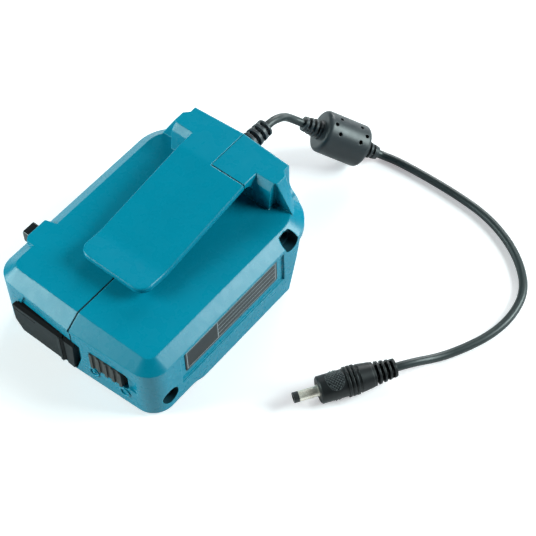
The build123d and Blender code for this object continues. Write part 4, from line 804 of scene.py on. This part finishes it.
# The arch down to the bead, the stretch inside it, the loop on the floor, and the plug
cord_route = [
    CORD_EXIT,
    (0, 0.0642, 0.0346),
    (0.00019, 0.06865, 0.03301),
    (-0.00088, 0.07358, 0.02832),
    (-0.00069, 0.07600, 0.02566),
    left_boot_tip - BEAD_WAY * LEFT_BOOT_LEAD,
    left_boot_tip,
    right_boot_tip,
    landing,
    (0.03420, 0.10087, CORD_FLOOR),
    (0.04865, 0.10153, CORD_FLOOR),
    (0.06295, 0.10152, CORD_FLOOR),
    (0.07690, 0.10027, CORD_FLOOR),
    (0.08964, 0.09587, CORD_FLOOR),
    (0.10021, 0.08921, CORD_FLOOR),
    (0.10821, 0.08021, CORD_FLOOR),
    (0.11074, 0.06861, CORD_FLOOR),
    (0.10954, 0.05737, CORD_FLOOR),
    (0.10557, 0.04687, CORD_FLOOR),
    (0.10021, 0.03684, CORD_FLOOR),
    plug_cord_end + PLUG_WAY * PLUG_LEAD,
    plug_cord_end,
]
cord_curve = bpy.data.curves.new("output_cord", "CURVE")
cord_curve.dimensions = "3D"
cord_curve.bevel_depth = CORD_DIAMETER / 2
cord_curve.bevel_resolution = CORD_ROUND_STEPS
cord_curve.use_fill_caps = True
line = cord_curve.splines.new("NURBS")
line.points.add(len(cord_route) - 1)
for point, stop in zip(line.points, cord_route):
    point.co = (*stop, 1)
line.order_u = CORD_BEND_ORDER
line.use_endpoint_u = True
line.resolution_u = CORD_BEND_STEPS
cord = bpy.data.objects.new("output_cord", cord_curve)
bpy.context.scene.collection.objects.link(cord)
jacket = moulded(
    "cord_jacket", JACKET_DARK, JACKET_GREY, PVC_EDGE,
    roughness=0.40, grain=0.0003, depth=0.000012, rounding=0.0001,
)
cord_curve.materials.append(jacket)
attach(cord, "housing")
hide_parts("cord_short", "cord_long")

# Ferrite bead
# A grey-black ferrite tube, moulded into a case of the cord's PVC with a ribbed boot at both
# ends. The pins that held the core in the mould left six small holes.
CORE_DARK = (0.050, 0.048, 0.046, 1)
CORE_GREY = (0.075, 0.072, 0.070, 1)
CORE_EDGE = (0.14, 0.14, 0.14, 1)

bead_pvc = moulded(
    "bead_pvc", OVERMOULD_DARK, OVERMOULD_GREY, OVERMOULD_EDGE,
    roughness=0.42, grain=0.00025, depth=0.00001, rounding=0.0004,
)
dress(bead_pvc, "bead_case")
core_ferrite = moulded(
    "core_ferrite", CORE_DARK, CORE_GREY, CORE_EDGE,
    roughness=0.6, grain=0.0001, depth=0.00002, rounding=0.0002,
)
dress(core_ferrite, "bead_core")

# Plug
# A moulded body with three grip rings and a ribbed boot, round a nickel-plated barrel with a
# black tip and a sprung centre contact. An oval patch of small pyramids on the top and on the
# underside helps the fingers to hold it.
PLUG_BLACK = (0.006, 0.007, 0.008, 1)
PLUG_GREY = (0.012, 0.014, 0.016, 1)
PLUG_RADIUS = 0.0051
# The pads are the plug's own PVC, painted lighter so that their pyramids show as painted highlights
PAD_DARK = (0.060, 0.066, 0.070, 1)
PAD_GREY = (0.085, 0.092, 0.098, 1)
PAD_CENTRE = 0.0062
PAD_HALF_LENGTH = 0.0033
PAD_HALF_ARC = 0.0046
PAD_SUNK = 0.00006
PYRAMID_PITCH = 0.0012
PYRAMID_HEIGHT = 0.00042
# Half a foot's diagonal as a share of the pitch, the crown as a share of the foot, and the
# share of the oval that holds pyramids
PYRAMID_FOOT = 0.46
PYRAMID_CROWN = 0.38
PYRAMIDS_WITHIN = 0.90
RIM_STEPS = 56
# Across the rim from the inside: how far the oval grows, and the height over the plug's skin
RIM_OUTLINE = [
    (-0.00006, -PAD_SUNK), (-0.00002, 0.00010), (0.00014, 0.00010), (0.00018, -PAD_SUNK),
]
NICKEL_BRIGHT = (0.98, 0.90, 0.80, 1)
NICKEL_DULL = (0.86, 0.77, 0.66, 1)
TIP_BLACK = (0.016, 0.017, 0.018, 1)
TIP_GREY = (0.026, 0.027, 0.029, 1)
TIP_EDGE = (0.08, 0.08, 0.08, 1)

plug_pvc = moulded(
    "plug_pvc", PLUG_BLACK, PLUG_GREY, PVC_EDGE,
    roughness=0.43, grain=0.00025, depth=0.00001, rounding=0.0003, specular=0.36,
)
dress(plug_pvc, "plug_body")


def on_plug(facing, along, arc, height):
    """A point over the plug's skin, from the pad's centre along the plug and round it."""
    up = Vector((0, 0, 1))
    turn = facing + arc / PLUG_RADIUS
    out = up * math.cos(turn) + PLUG_WAY.cross(up) * math.sin(turn)
    return PLUG_FRONT + PLUG_WAY * (PAD_CENTRE + along) + out * (PLUG_RADIUS + height)


def pyramid(shape, facing, along, arc):
    """A small pyramid with a flat crown, sunk a little into the plug."""
    reach = PYRAMID_PITCH * PYRAMID_FOOT
    foot, crown = [], []
    for a, b in ((reach, 0), (0, reach), (-reach, 0), (0, -reach)):
        foot.append(shape.verts.new(on_plug(facing, along + a, arc + b, -PAD_SUNK)))
        top = on_plug(facing, along + a * PYRAMID_CROWN, arc + b * PYRAMID_CROWN, PYRAMID_HEIGHT)
        crown.append(shape.verts.new(top))
    shape.faces.new(crown)
    shape.faces.new(foot[::-1])
    for k in range(len(foot)):
        j = (k + 1) % len(foot)
        shape.faces.new((foot[k], foot[j], crown[j], crown[k]))


def grip_pads(shape):
    """An oval of staggered pyramids inside a low rim, on the plug's top and on its underside."""
    rows = int(2 * PAD_HALF_ARC / PYRAMID_PITCH) + 2
    for facing in (0, math.pi):
        for i in range(-rows, rows + 1):
            for j in range(-rows, rows + 1):
                along, arc = i * PYRAMID_PITCH / 2, j * PYRAMID_PITCH / 2
                outward = (along / PAD_HALF_LENGTH) ** 2 + (arc / PAD_HALF_ARC) ** 2
                if (i + j) % 2 == 0 and outward <= PYRAMIDS_WITHIN:
                    pyramid(shape, facing, along, arc)
        rings = []
        for step in range(RIM_STEPS):
            turn = 2 * math.pi * step / RIM_STEPS
            ring = []
            for grow, height in RIM_OUTLINE:
                along = (PAD_HALF_LENGTH + grow) * math.cos(turn)
                arc = (PAD_HALF_ARC + grow) * math.sin(turn)
                ring.append(shape.verts.new(on_plug(facing, along, arc, height)))
            rings.append(ring)
        join_rings(shape, rings)


# A lighter copy of the plug's PVC: a painted highlight on the grip pads
pad_pvc = moulded(
    "plug_pad_pvc", PAD_DARK, PAD_GREY, PVC_EDGE,
    roughness=0.34, grain=0.00025, depth=0.00001, rounding=0.00004,
)
new_piece("plug_grip_pads", grip_pads, pad_pvc, "housing")
nickel_barrel = worn_metal(
    "nickel_barrel", NICKEL_BRIGHT, NICKEL_DULL, roughness=0.30, rounding=0.0001, metal=0.6
)
dress(nickel_barrel, "plug_barrel")
tip_plastic = moulded(
    "tip_plastic", TIP_BLACK, TIP_GREY, TIP_EDGE,
    roughness=0.40, grain=0.0002, depth=0.00001, rounding=0.00015,
)
dress(tip_plastic, "plug_insulator")
dress(contact_brass, "plug_contact")

# Internal wires
# Thin stranded wires in red PVC between the terminal block, the boards and the cord. They are
# soldered at both ends.
WIRE_RED = (0.28, 0.012, 0.010, 1)
WIRE_LIGHT = (0.36, 0.020, 0.016, 1)
WIRE_EDGE = (0.5, 0.08, 0.06, 1)

wire_jacket = moulded(
    "wire_jacket", WIRE_RED, WIRE_LIGHT, WIRE_EDGE,
    roughness=0.38, grain=0.0003, depth=0.00001, rounding=0.0001,
)
dress(wire_jacket, "internal_wires")
